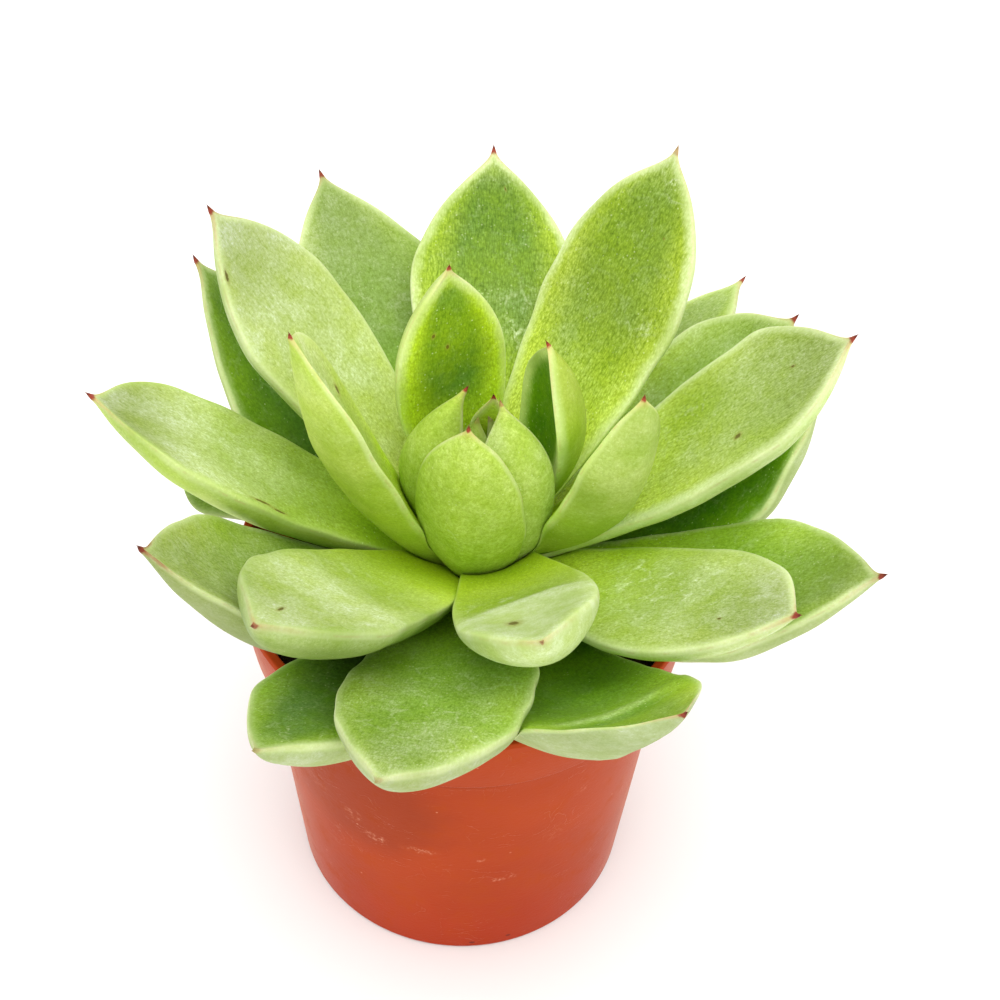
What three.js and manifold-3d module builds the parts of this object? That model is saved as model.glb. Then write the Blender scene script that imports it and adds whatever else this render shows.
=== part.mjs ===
// A potted rosette succulent: one moulded nursery pot, a plug of soil, a short
// stem, and thick pointed leaves set on the stem in a spiral.
// Millimetres, +Z up. The origin is on the pot's axis, at the underside of its
// base. -Y is the front.

import * as THREE from 'three';
import { mergeVertices } from 'three/addons/utils/BufferGeometryUtils.js';
import Module from 'manifold-3d';

const wasm = await Module();
wasm.setup();

// ---------------------------------------------------------------- dimensions

// Pot
const POT_HEIGHT = 54.0;
const RIM_RADIUS = 27.5; // outside, at the top edge
const BAND_LOW_RADIUS = 26.3; // outside, at the band's lower edge
const BAND_LOW_Z = 44.4;
const WALL_TOP_RADIUS = 25.2; // outside, just under the band
const BASE_RADIUS = 21.2; // outside, at the table
const WALL = 1.1;
const FLOOR = 1.4;
const FOOT_WIDTH = 3.6; // flat ring that the pot stands on
const HUB_RADIUS = 8.5; // flat middle of the underside
const UNDER_RECESS = 1.6; // depth of the groove between hub and foot ring
const DRAIN_RADIUS = 2.6;
const DRAIN_CIRCLE = 13.0;
const DRAIN_COUNT = 4;
const POT_SEGMENTS = 48;

// Soil
const GAP = 0.3; // clearance between pieces that touch
const SOIL_TOP = 45.6;
const SOIL_BUMP = 0.5;

// Stem
const STEM_X = 1.6;
const STEM_Y = 0.5;
const STEM_PROFILE = [ // [radius, z]
  [0, 37.0], [1.4, 37.6], [2.3, 40.0], [2.9, 43.0], [3.6, 46.5],
  [4.7, 49.5], [5.0, 53.0], [4.9, 57.0], [4.3, 60.5], [3.5, 63.0],
  [2.4, 65.0], [1.2, 66.4], [0, 66.8],
];
const STEM_SEGMENTS = 16;

// Leaves, outermost and lowest first, along the spiral up the stem.
// azimuth   compass direction of the base, degrees from +X towards +Y
// rise      angle above the horizontal at the base, degrees
// length    base to tip
// rise1, rise2    change of rise along the leaf: rise + rise1*s + rise2*s*s
// sweep1, sweep2  change of azimuth along the leaf
// roll0, roll1    turn about the leaf's own length: roll0 + roll1*s
// width     greatest width, at the fraction widest of the length
// base      base width as a fraction of width
// point     exponent of the outline between the widest place and the tip
// channel   how far the margins stand above the middle of the upper face,
//           as a fraction of the half width
// thick     greatest thickness
// keel      how much the underside is ridged rather than round
// z, reach  height of the base, and its distance from the stem's axis
// blunt     exponent of the thinning towards the tip; larger is blunter
// taper     how much the last few millimetres draw in towards the point
const LEAVES = [
  // name, azimuth, rise, length, rise1, rise2, sweep1, sweep2, roll0, roll1,
  //   width, widest, base, point, channel, thick, keel, z, reach, blunt, taper
  ['leaf_outer_01', 164.23, 14.17, 33.30, -6.37, -7.81, 6.45, 3.21, -9.57, 16.96, 11.56, 0.843, 0.394, 3.131, 0.072, 3.75, 0.425, 53.11, 5.20, 2.58, 0.15],
  ['leaf_outer_02', 243.82, 15.78, 50.00, 26.22, -0.88, -0.90, 0.03, -5.18, -3.08, 17.70, 0.643, 0.395, 1.500, 0.090, 5.83, 0.261, 51.18, 5.45, 3.27, 0.10],
  ['leaf_outer_03', 12.31, 7.39, 44.34, 59.62, 2.94, -6.02, -4.28, -2.18, 5.47, 18.41, 0.599, 0.417, 1.954, 0.063, 5.55, 0.300, 51.91, 5.20, 2.60, 0.30],
  ['leaf_outer_04', 146.41, 14.03, 45.58, 34.74, 4.32, -2.86, 3.36, -0.42, -23.15, 20.29, 0.593, 0.421, 1.500, 0.016, 5.51, 0.303, 54.32, 5.07, 1.51, 0.50],
  ['leaf_outer_05', 283.54, 8.05, 55.53, 66.90, -15.78, 27.31, 7.22, -0.46, 15.60, 20.87, 0.558, 0.368, 3.064, 0.258, 5.65, 0.760, 51.84, 5.50, 1.50, 0.15],
  ['leaf_outer_06', 53.07, 11.74, 45.75, 4.55, 0.17, -5.18, -2.08, 3.07, 29.62, 18.24, 0.587, 0.416, 1.820, 0.055, 5.19, 0.352, 54.24, 5.02, 2.60, 0.50],
  ['leaf_outer_07', 224.65, 22.01, 53.18, 37.57, 0.29, -8.28, -7.57, 1.10, -3.28, 21.23, 0.651, 0.387, 1.500, 0.234, 5.91, 0.247, 53.48, 5.19, 1.65, 0.50],
  ['leaf_outer_08', 332.57, 15.18, 50.00, 33.39, -5.02, 4.62, -1.49, -3.88, 3.84, 21.41, 0.652, 0.387, 1.500, 0.105, 6.03, 0.232, 54.16, 5.07, 2.42, 0.50],
  ['leaf_outer_09', 117.88, 19.43, 46.40, 6.14, 2.65, 0.60, -1.68, 0.61, -2.00, 20.72, 0.620, 0.412, 1.500, 0.062, 5.32, 0.353, 57.97, 5.03, 2.60, 0.50],
  ['leaf_outer_10', 266.92, 24.74, 54.04, 6.83, 1.49, -13.42, -2.88, -6.56, 2.28, 20.31, 0.601, 0.375, 2.110, 0.069, 5.69, 0.254, 55.61, 5.08, 5.38, 0.15],
  ['leaf_outer_11', 25.56, 23.89, 41.97, 20.04, 2.54, -1.51, -0.14, -3.14, 0.74, 18.59, 0.654, 0.419, 2.245, 0.049, 5.04, 0.353, 56.32, 4.84, 2.60, 0.50],
  ['leaf_outer_12', 187.11, 31.86, 47.46, 9.27, -1.60, -1.33, -4.53, 0.03, -21.33, 17.38, 0.723, 0.366, 2.373, 0.161, 5.40, 0.232, 56.02, 5.29, 2.52, 0.50],
  ['leaf_outer_13', 316.85, 25.94, 47.41, 14.30, -0.29, 1.31, 1.71, 5.82, -9.41, 19.16, 0.606, 0.412, 2.547, 0.060, 5.21, 0.373, 57.14, 4.87, 3.55, 0.20],
  ['leaf_outer_14', 89.27, 30.14, 42.54, 2.42, 1.20, 2.63, 1.43, -1.75, -4.55, 19.78, 0.642, 0.423, 1.558, 0.066, 5.33, 0.350, 60.28, 4.62, 2.60, 0.50],
  ['leaf_outer_15', 239.44, 38.31, 50.02, 3.66, -2.98, 2.53, -0.89, -3.34, 6.77, 18.10, 0.727, 0.492, 1.623, 0.167, 5.92, 0.237, 56.77, 5.38, 6.24, 0.10],
  ['leaf_outer_16', 0.27, 40.19, 48.40, 10.96, -6.60, 7.87, 2.18, 2.21, 2.01, 18.49, 0.717, 0.456, 2.025, 0.110, 5.53, 0.252, 57.33, 4.95, 3.50, 0.50],
  ['leaf_outer_17', 154.03, 39.96, 45.10, 16.57, -0.33, 1.28, 1.34, -2.55, -4.19, 17.81, 0.667, 0.395, 1.700, 0.077, 5.36, 0.351, 61.27, 4.99, 2.60, 0.50],
  ['leaf_outer_18', 283.71, 33.18, 43.81, 3.20, 13.38, -4.33, -7.05, -6.43, -11.00, 15.75, 0.714, 0.433, 2.099, 0.254, 4.50, 0.192, 59.43, 4.69, 6.16, 0.00],
  ['leaf_outer_19', 48.57, 43.28, 44.88, 11.54, -0.86, 5.86, 6.57, -1.10, 12.46, 18.26, 0.627, 0.572, 1.983, 0.064, 5.29, 0.353, 61.94, 4.40, 2.60, 0.50],
  ['leaf_mid_01', 208.69, 61.16, 48.99, 16.95, -4.68, -3.99, 2.67, 6.16, -3.47, 14.57, 0.644, 0.280, 2.721, 0.227, 4.90, 0.355, 55.79, 4.52, 1.93, 0.30],
  ['leaf_mid_02', 333.40, 48.36, 38.07, 37.24, -2.59, -9.54, -7.75, -2.68, 19.21, 11.09, 0.610, 0.406, 2.178, 0.111, 5.57, 0.437, 59.03, 4.12, 2.03, 0.10],
  ['leaf_mid_03', 123.84, 67.66, 33.18, 27.62, 1.10, 0.00, -0.04, 2.57, 0.76, 14.17, 0.507, 0.444, 1.990, 0.069, 4.59, 0.350, 62.34, 3.54, 2.60, 0.30],
  ['leaf_bud_01', 261.61, 63.10, 33.82, 33.27, -3.16, -1.99, 0.90, 1.80, 5.46, 12.62, 0.449, 0.280, 3.316, 0.150, 3.76, 0.356, 55.95, 4.57, 2.57, 0.15],
  ['leaf_mid_04', 11.48, 60.51, 27.64, 48.34, -1.39, -7.77, -11.07, -15.17, -0.34, 12.89, 0.665, 0.406, 1.500, 0.243, 4.44, 0.249, 62.44, 3.60, 1.72, 0.15],
  ['leaf_bud_02', 201.93, 61.66, 24.24, 65.00, 2.50, 5.66, 5.08, -29.86, 0.56, 9.27, 0.400, 0.502, 1.500, 0.149, 3.88, 0.289, 60.61, 3.94, 1.55, 0.20],
  ['leaf_bud_03', 296.98, 54.19, 27.47, 72.94, 4.64, -0.77, 0.79, 11.11, 2.30, 9.26, 0.550, 0.496, 2.165, 0.111, 3.43, 0.312, 58.85, 4.21, 2.60, 0.20],
  ['leaf_bud_04', 74.22, 82.43, 14.83, 12.12, 0.74, 1.92, 0.90, -2.99, -3.23, 5.51, 0.586, 0.420, 1.928, 0.209, 2.60, 0.350, 64.47, 2.35, 2.60, 0.20],
  ['leaf_bud_05', 220.99, 85.72, 12.53, 8.24, 0.51, 0.09, 0.05, -0.00, 0.00, 5.00, 0.600, 0.420, 2.000, 0.200, 2.00, 0.350, 66.53, 1.18, 2.60, 0.20],
  ['leaf_bud_06', 0.34, 87.47, 10.56, 11.38, 0.92, -0.50, -0.22, -0.00, -0.00, 4.00, 0.600, 0.420, 2.000, 0.200, 1.60, 0.350, 67.90, 0.85, 2.60, 0.20],
];
const TAPER_LENGTH = 2.6; // length over which the end draws in to the point
const UPPER_SHARE = 0.16; // share of the thickness above the leaf's own middle
const BASE_THICKNESS = 0.42; // thickness at the base as a fraction of thick
const STATIONS = [0, 0.09, 0.2, 0.32, 0.44, 0.56, 0.67, 0.77, 0.86, 0.93, 0.975];
const BUD_STATIONS = [0, 0.15, 0.32, 0.5, 0.67, 0.82, 0.93];
const RING = 10; // points round each cross-section

// Colours
const POT_COLOUR = 0xbe4f2e;
const SOIL_COLOUR = 0x2e2118;
const STEM_COLOUR = 0x8a8f58;
const OUTER_COLOUR = 0x7fa53c;
const MID_COLOUR = 0x9cbd55;
const BUD_COLOUR = 0x93b84f;

// ------------------------------------------------------------------- helpers

const rad = THREE.MathUtils.degToRad;

function toSolid(geometry) {
  const g = geometry.clone();
  g.deleteAttribute('normal');
  g.deleteAttribute('uv');
  const merged = mergeVertices(g, 1e-4);
  return new wasm.Manifold(new wasm.Mesh({
    numProp: 3,
    vertProperties: new Float32Array(merged.attributes.position.array),
    triVerts: new Uint32Array(merged.index.array),
  }));
}

function toGeometry(solid) {
  const mesh = solid.getMesh();
  const g = new THREE.BufferGeometry();
  const n = mesh.vertProperties.length / mesh.numProp;
  const pos = new Float32Array(n * 3);
  for (let i = 0; i < n; i++) {
    for (let k = 0; k < 3; k++) pos[3 * i + k] = mesh.vertProperties[mesh.numProp * i + k];
  }
  g.setAttribute('position', new THREE.BufferAttribute(pos, 3));
  g.setIndex(new THREE.BufferAttribute(new Uint32Array(mesh.triVerts), 1));
  g.computeVertexNormals();
  return g;
}

function largest(solid) {
  const pieces = solid.decompose();
  pieces.sort((a, b) => b.volume() - a.volume());
  return pieces[0];
}

// A solid of revolution about +Z from [radius, z] points.
function turned(points, segments) {
  const g = new THREE.LatheGeometry(points.map(([r, z]) => new THREE.Vector2(r, z)), segments);
  g.rotateX(Math.PI / 2);
  return g;
}

// -------------------------------------------------------------------- leaves

function readLeaf(row) {
  const [name, azimuth, rise, length, rise1, rise2, sweep1, sweep2, roll0, roll1,
    width, widest, base, point, channel, thick, keel, z, reach, blunt, taper] = row;
  return { name, azimuth, rise, length, rise1, rise2, sweep1, sweep2, roll0, roll1,
    width, widest, base, point, channel, thick, keel, z, reach, blunt, taper };
}

function halfWidth(leaf, s) {
  let w;
  if (s < leaf.widest) {
    w = leaf.base + (1 - leaf.base) * Math.pow(Math.sin((s / leaf.widest) * Math.PI / 2), 1.3);
  } else {
    w = 1 - Math.pow((s - leaf.widest) / (1 - leaf.widest), leaf.point);
  }
  const fromTip = (1 - s) * leaf.length;
  return (leaf.width / 2) * w * (1 - leaf.taper * Math.exp(-Math.pow(fromTip / TAPER_LENGTH, 2)));
}

function thickness(leaf, s) {
  if (s < 0.5) return leaf.thick * (BASE_THICKNESS + (1 - BASE_THICKNESS) * Math.sin(s * Math.PI));
  return leaf.thick * (1 - Math.pow((s - 0.5) / 0.5, leaf.blunt));
}

function direction(leaf, s) {
  const e = rad(leaf.rise + leaf.rise1 * s + leaf.rise2 * s * s);
  const a = rad(leaf.azimuth + leaf.sweep1 * s + leaf.sweep2 * s * s);
  return { e, a, t: new THREE.Vector3(Math.cos(e) * Math.cos(a), Math.cos(e) * Math.sin(a), Math.sin(e)) };
}

// The leaf's own axes at a station: t along it, r to its right, n out of its
// upper face, and p the point on its middle line.
function frames(leaf, stations) {
  const a0 = rad(leaf.azimuth);
  const p = new THREE.Vector3(
    STEM_X + leaf.reach * Math.cos(a0), STEM_Y + leaf.reach * Math.sin(a0), leaf.z);
  const out = [];
  const fine = 96;
  let k = 0;
  for (const s of stations) {
    while (k < Math.round(s * fine)) {
      const mid = direction(leaf, (k + 0.5) / fine);
      p.addScaledVector(mid.t, leaf.length / fine);
      k++;
    }
    const { e, a, t } = direction(leaf, s);
    const n0 = new THREE.Vector3(-Math.sin(e) * Math.cos(a), -Math.sin(e) * Math.sin(a), Math.cos(e));
    const r0 = new THREE.Vector3().crossVectors(t, n0);
    const roll = rad(leaf.roll0 + leaf.roll1 * s);
    const r = r0.clone().multiplyScalar(Math.cos(roll)).addScaledVector(n0, Math.sin(roll));
    const n = n0.clone().multiplyScalar(Math.cos(roll)).addScaledVector(r0, -Math.sin(roll));
    out.push({ s, p: p.clone(), t, r, n });
  }
  return out;
}

// A closed leaf. grow makes it larger all round by that many millimetres.
function leafGeometry(leaf, grow = 0) {
  const stations = leaf.length < 18 ? BUD_STATIONS : STATIONS;
  const rings = frames(leaf, [...stations, 1]);
  const tip = rings.pop();
  const pos = [];
  rings.forEach(({ s, p, t, r, n }, k) => {
    const w = halfWidth(leaf, s);
    const th = thickness(leaf, s);
    const back = k === 0 ? -grow : 0;
    for (let i = 0; i < RING; i++) {
      const ang = (i / RING) * 2 * Math.PI;
      const c = Math.cos(ang);
      const sn = Math.sin(ang);
      const v = Math.abs(c) < 1e-9 ? 0 : Math.sign(c) * Math.pow(Math.abs(c), 0.8);
      const lower = (1 - leaf.keel) * Math.pow(Math.abs(sn), 0.9) + leaf.keel * (1 - Math.abs(v));
      let y = sn >= -1e-9
        ? (UPPER_SHARE * th + grow) * Math.pow(Math.abs(sn) < 1e-9 ? 0 : Math.abs(sn), 0.6)
        : -((1 - UPPER_SHARE) * th + grow) * lower;
      y += leaf.channel * w * v * v;
      const q = p.clone().addScaledVector(r, (w + grow) * v).addScaledVector(n, y)
        .addScaledVector(t, back);
      pos.push(q.x, q.y, q.z);
    }
  });
  const ringCount = rings.length;
  const baseCentre = rings[0].p.clone().addScaledVector(rings[0].t, -grow)
    .addScaledVector(rings[0].n, -0.34 * thickness(leaf, 0));
  const tipPoint = tip.p.clone().addScaledVector(tip.t, grow);
  const iBase = pos.length / 3;
  pos.push(baseCentre.x, baseCentre.y, baseCentre.z);
  const iTip = iBase + 1;
  pos.push(tipPoint.x, tipPoint.y, tipPoint.z);
  const index = [];
  for (let k = 0; k < ringCount - 1; k++) {
    for (let i = 0; i < RING; i++) {
      const j = (i + 1) % RING;
      const a = k * RING + i;
      const b = k * RING + j;
      const c = (k + 1) * RING + i;
      const d = (k + 1) * RING + j;
      index.push(a, c, b, b, c, d);
    }
  }
  const last = (ringCount - 1) * RING;
  for (let i = 0; i < RING; i++) {
    const j = (i + 1) % RING;
    index.push(iBase, i, j);
    index.push(last + i, iTip, last + j);
  }
  const g = new THREE.BufferGeometry();
  g.setAttribute('position', new THREE.Float32BufferAttribute(pos, 3));
  g.setIndex(index);
  return g;
}

const leaves = LEAVES.map(readLeaf);
const plain = leaves.map((leaf) => toSolid(leafGeometry(leaf)));
const grown = leaves.map((leaf) => toSolid(leafGeometry(leaf, GAP)));

// The inner leaf of a pair keeps its shape, and the outer one is pressed clear
// of it, as the packed leaf bases are on the plant.
const leafSolids = plain.map((solid, i) => {
  let s = solid;
  for (let j = i + 1; j < leaves.length; j++) {
    if (s.intersect(grown[j]).volume() > 1e-6) s = s.subtract(grown[j]);
  }
  return largest(s);
});

// ---------------------------------------------------------------------- stem

let stemSolid = toSolid(turned(STEM_PROFILE, STEM_SEGMENTS).translate(STEM_X, STEM_Y, 0));
const stemGrown = toSolid(turned(
  STEM_PROFILE.filter(([r]) => r > 0).map(([r, z], i) => [r + GAP, i === 0 ? z - GAP : z])
    .reduce((list, point, i, all) => {
      if (i === 0) list.push([0, point[1] - 0.4]);
      list.push(point);
      if (i === all.length - 1) list.push([0, point[1] + 0.8]);
      return list;
    }, []), STEM_SEGMENTS).translate(STEM_X, STEM_Y, 0));
for (const g of grown) {
  if (stemSolid.intersect(g).volume() > 1e-6) stemSolid = stemSolid.subtract(g);
}
stemSolid = largest(stemSolid);

// ----------------------------------------------------------------------- pot

const slope = (WALL_TOP_RADIUS - BASE_RADIUS) / BAND_LOW_Z;
const innerAt = (z) => BASE_RADIUS + slope * z - WALL; // inside of the wall under the band
const potProfile = [
  // underside: hub, groove, foot ring
  [0, 0], [HUB_RADIUS, 0], [HUB_RADIUS + 0.8, UNDER_RECESS],
  [BASE_RADIUS - FOOT_WIDTH - 0.8, UNDER_RECESS], [BASE_RADIUS - FOOT_WIDTH, 0],
  [BASE_RADIUS - 0.15, 0], [BASE_RADIUS, 0.25],
  // outside of the wall, ledge, rim band, lip
  [WALL_TOP_RADIUS, BAND_LOW_Z - 0.3], [BAND_LOW_RADIUS, BAND_LOW_Z],
  [RIM_RADIUS, POT_HEIGHT - 0.4], [RIM_RADIUS - 0.35, POT_HEIGHT],
  // inside
  [RIM_RADIUS - WALL, POT_HEIGHT], [RIM_RADIUS - WALL - 0.2, POT_HEIGHT - 0.4],
  [BAND_LOW_RADIUS - WALL, BAND_LOW_Z + 1.0], [innerAt(BAND_LOW_Z), BAND_LOW_Z - 0.2],
  [innerAt(UNDER_RECESS + FLOOR + 1.2), UNDER_RECESS + FLOOR + 1.2],
  [innerAt(UNDER_RECESS + FLOOR) - 1.2, UNDER_RECESS + FLOOR],
  [0, UNDER_RECESS + FLOOR],
];
let potSolid = toSolid(turned(potProfile, POT_SEGMENTS));
for (let i = 0; i < DRAIN_COUNT; i++) {
  const a = ((i + 0.5) / DRAIN_COUNT) * 2 * Math.PI;
  const hole = new THREE.CylinderGeometry(DRAIN_RADIUS, DRAIN_RADIUS, 8, 12);
  hole.rotateX(Math.PI / 2);
  hole.translate(DRAIN_CIRCLE * Math.cos(a), DRAIN_CIRCLE * Math.sin(a), UNDER_RECESS);
  potSolid = potSolid.subtract(toSolid(hole));
}

// ---------------------------------------------------------------------- soil

function soilTop(x, y) {
  return SOIL_TOP + SOIL_BUMP * (
    0.6 * Math.sin(0.42 * x + 1.3) * Math.cos(0.37 * y - 0.4)
    + 0.4 * Math.sin(0.81 * x - 0.66 * y + 2.1));
}

function soilGeometry() {
  const segments = 32;
  const rows = []; // [radius, z or null for the bumpy top]
  const low = UNDER_RECESS + FLOOR + GAP;
  const fit = (z) => innerAt(z) - GAP - 0.12;
  rows.push([fit(low) - 1.5, low]);
  rows.push([fit(low + 1.6), low + 1.6]);
  rows.push([fit(BAND_LOW_Z - 1.2), BAND_LOW_Z - 1.2]);
  for (const f of [0.99, 0.78, 0.5, 0.25]) rows.push([f * fit(BAND_LOW_Z - 1.2), null]);
  const pos = [];
  for (const [r, z] of rows) {
    for (let i = 0; i < segments; i++) {
      const a = (i / segments) * 2 * Math.PI;
      const x = r * Math.cos(a);
      const y = r * Math.sin(a);
      pos.push(x, y, z === null ? soilTop(x, y) : z);
    }
  }
  const iLow = pos.length / 3;
  pos.push(0, 0, low);
  const iTop = iLow + 1;
  pos.push(0, 0, soilTop(0, 0));
  const index = [];
  for (let k = 0; k < rows.length - 1; k++) {
    for (let i = 0; i < segments; i++) {
      const j = (i + 1) % segments;
      const a = k * segments + i;
      const b = k * segments + j;
      const c = (k + 1) * segments + i;
      const d = (k + 1) * segments + j;
      index.push(a, b, c, b, d, c);
    }
  }
  const last = (rows.length - 1) * segments;
  for (let i = 0; i < segments; i++) {
    const j = (i + 1) % segments;
    index.push(iLow, j, i);
    index.push(iTop, last + i, last + j);
  }
  const g = new THREE.BufferGeometry();
  g.setAttribute('position', new THREE.Float32BufferAttribute(pos, 3));
  g.setIndex(index);
  return g;
}

let soilSolid = toSolid(soilGeometry()).subtract(stemGrown);
soilSolid = largest(soilSolid);

// ------------------------------------------------------------------ assembly

function piece(name, solid, color, roughness) {
  const mesh = new THREE.Mesh(
    toGeometry(solid),
    new THREE.MeshStandardMaterial({ color, roughness, metalness: 0 }));
  mesh.name = name;
  return mesh;
}

const succulent = new THREE.Group();
succulent.name = 'potted_succulent';

const potGroup = new THREE.Group();
potGroup.add(piece('pot', potSolid, POT_COLOUR, 0.55));
potGroup.add(piece('soil', soilSolid, SOIL_COLOUR, 0.95));
succulent.add(potGroup);

const plant = new THREE.Group();
plant.add(piece('stem', stemSolid, STEM_COLOUR, 0.7));
leaves.forEach((leaf, i) => {
  const colour = leaf.name.startsWith('leaf_outer') ? OUTER_COLOUR
    : leaf.name.startsWith('leaf_mid') ? MID_COLOUR : BUD_COLOUR;
  plant.add(piece(leaf.name, leafSolids[i], colour, 0.5));
});
succulent.add(plant);

export default succulent;
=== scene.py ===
import math

import bmesh
import bpy
import numpy as np
from mathutils import Matrix, Vector
from mathutils.bvhtree import BVHTree


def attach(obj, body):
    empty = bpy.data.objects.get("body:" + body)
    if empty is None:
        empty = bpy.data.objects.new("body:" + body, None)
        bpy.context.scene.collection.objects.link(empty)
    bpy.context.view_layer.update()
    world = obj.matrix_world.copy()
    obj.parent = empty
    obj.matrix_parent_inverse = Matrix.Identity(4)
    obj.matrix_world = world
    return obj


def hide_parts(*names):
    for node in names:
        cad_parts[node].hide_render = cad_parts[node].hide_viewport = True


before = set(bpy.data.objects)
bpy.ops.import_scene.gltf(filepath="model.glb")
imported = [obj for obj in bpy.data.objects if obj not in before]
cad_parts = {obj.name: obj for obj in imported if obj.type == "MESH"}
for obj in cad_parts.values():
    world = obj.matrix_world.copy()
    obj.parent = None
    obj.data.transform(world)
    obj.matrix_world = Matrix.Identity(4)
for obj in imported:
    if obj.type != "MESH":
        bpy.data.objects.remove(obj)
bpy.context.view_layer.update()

MM = 0.001
AXIS = np.array([1.6, 0.5])  # the stem's axis, mm

# ---------------------------------------------------------------- helpers


def srgb(r, g, b):
    """An sRGB colour, 0 to 255, as a linear RGBA."""
    out = []
    for c in (r, g, b):
        c = c / 255.0
        out.append(c / 12.92 if c <= 0.04045 else ((c + 0.055) / 1.055) ** 2.4)
    return (*out, 1.0)


def smooth(x, low, high):
    """0 below low, 1 above high, and smooth between them. Works with low above high too."""
    t = np.clip((np.asarray(x, float) - low) / (high - low), 0, 1)
    return t * t * (3 - 2 * t)


def wander(a, b, seed, scale, terms=7):
    """Smooth random field over the plane (a, b) in mm, about -1 to 1, with features about scale mm wide."""
    rng = np.random.default_rng(seed)
    out = np.zeros(np.broadcast(a, b).shape)
    for _ in range(terms):
        ang = rng.uniform(0, 2 * math.pi)
        k = 2 * math.pi / scale * rng.uniform(0.55, 1.45)
        out = out + np.sin(k * (math.cos(ang) * a + math.sin(ang) * b) + rng.uniform(0, 2 * math.pi))
    return out / math.sqrt(terms / 1.2)


def mesh_object(name, co, faces, body="root"):
    """A mesh from points in mm and faces, in place, with smooth shading."""
    mesh = bpy.data.meshes.new(name)
    mesh.from_pydata([tuple(p) for p in (np.asarray(co) * MM)], [], faces)
    mesh.validate()
    mesh.shade_smooth()
    obj = bpy.data.objects.new(name, mesh)
    bpy.context.scene.collection.objects.link(obj)
    return obj


def put(obj, name, values):
    """A float or vector attribute on the points of a mesh."""
    values = np.asarray(values, np.float32)
    kind = "FLOAT" if values.ndim == 1 else "FLOAT_VECTOR"
    a = obj.data.attributes.new(name, kind, "POINT")
    a.data.foreach_set("value" if kind == "FLOAT" else "vector", values.ravel())


class Nodes:
    """Short calls for building a material's nodes."""

    def __init__(self, name):
        self.mat = bpy.data.materials.new(name)
        self.mat.use_nodes = True
        self.tree = self.mat.node_tree
        self.tree.nodes.clear()
        self.out = self.tree.nodes.new("ShaderNodeOutputMaterial")
        self.bsdf = self.tree.nodes.new("ShaderNodeBsdfPrincipled")
        self.tree.links.new(self.bsdf.outputs[0], self.out.inputs[0])

    def feed(self, socket, value):
        if isinstance(value, bpy.types.NodeSocket):
            self.tree.links.new(value, socket)
        elif value is not None:
            if hasattr(socket.default_value, "__len__"):
                value = tuple(value) if hasattr(value, "__len__") else (value,) * len(socket.default_value)
                value = value[: len(socket.default_value)]
            socket.default_value = value

    def attr(self, name, vector=False):
        n = self.tree.nodes.new("ShaderNodeAttribute")
        n.attribute_name = name
        return n.outputs["Vector" if vector else "Fac"]

    def coord(self, kind="Object"):
        return self.tree.nodes.new("ShaderNodeTexCoord").outputs[kind]

    def math(self, op, a, b=None, c=None, clamp=False):
        n = self.tree.nodes.new("ShaderNodeMath")
        n.operation, n.use_clamp = op, clamp
        for s, v in zip(n.inputs, (a, b, c)):
            self.feed(s, v)
        return n.outputs[0]

    def vec(self, op, a, b=None, scale=None):
        n = self.tree.nodes.new("ShaderNodeVectorMath")
        n.operation = op
        self.feed(n.inputs[0], a)
        if b is not None:
            self.feed(n.inputs[1], b)
        if scale is not None:
            self.feed(n.inputs["Scale"], scale)
        return n.outputs["Value" if op in ("LENGTH", "DISTANCE", "DOT_PRODUCT") else 0]

    def split(self, v):
        n = self.tree.nodes.new("ShaderNodeSeparateXYZ")
        self.feed(n.inputs[0], v)
        return n.outputs

    def join(self, x, y, z):
        n = self.tree.nodes.new("ShaderNodeCombineXYZ")
        for s, v in zip(n.inputs, (x, y, z)):
            self.feed(s, v)
        return n.outputs[0]

    def noise(self, vector, scale, detail=2.0, rough=0.5, distort=0.0, colour=False):
        n = self.tree.nodes.new("ShaderNodeTexNoise")
        self.feed(n.inputs["Vector"], vector)
        self.feed(n.inputs["Scale"], scale)
        self.feed(n.inputs["Detail"], detail)
        self.feed(n.inputs["Roughness"], rough)
        self.feed(n.inputs["Distortion"], distort)
        return n.outputs["Color" if colour else "Fac"]

    def voronoi(self, vector, scale, feature="F1", out="Distance", random=1.0):
        n = self.tree.nodes.new("ShaderNodeTexVoronoi")
        n.feature = feature
        self.feed(n.inputs["Vector"], vector)
        self.feed(n.inputs["Scale"], scale)
        self.feed(n.inputs["Randomness"], random)
        return n.outputs[out]

    def step(self, value, low, high, to_low=0.0, to_high=1.0):
        """value mapped smoothly from low..high to to_low..to_high, and held outside."""
        n = self.tree.nodes.new("ShaderNodeMapRange")
        n.interpolation_type = "SMOOTHSTEP"
        for s, v in zip(n.inputs, (value, low, high, to_low, to_high)):
            self.feed(s, v)
        return n.outputs[0]

    def mix(self, fac, a, b, blend="MIX"):
        n = self.tree.nodes.new("ShaderNodeMix")
        n.data_type, n.blend_type, n.clamp_factor = "RGBA", blend, True
        self.feed(n.inputs[0], fac)
        self.feed(n.inputs[6], a)
        self.feed(n.inputs[7], b)
        return n.outputs[2]

    def bump(self, height, distance, strength=1.0, normal=None):
        n = self.tree.nodes.new("ShaderNodeBump")
        self.feed(n.inputs["Strength"], strength)
        self.feed(n.inputs["Distance"], distance)
        self.feed(n.inputs["Height"], height)
        if normal is not None:
            self.feed(n.inputs["Normal"], normal)
        return n.outputs[0]

    def set(self, **values):
        for k, v in values.items():
            self.feed(self.bsdf.inputs[k.replace("_", " ")], v)
        return self.mat


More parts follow.
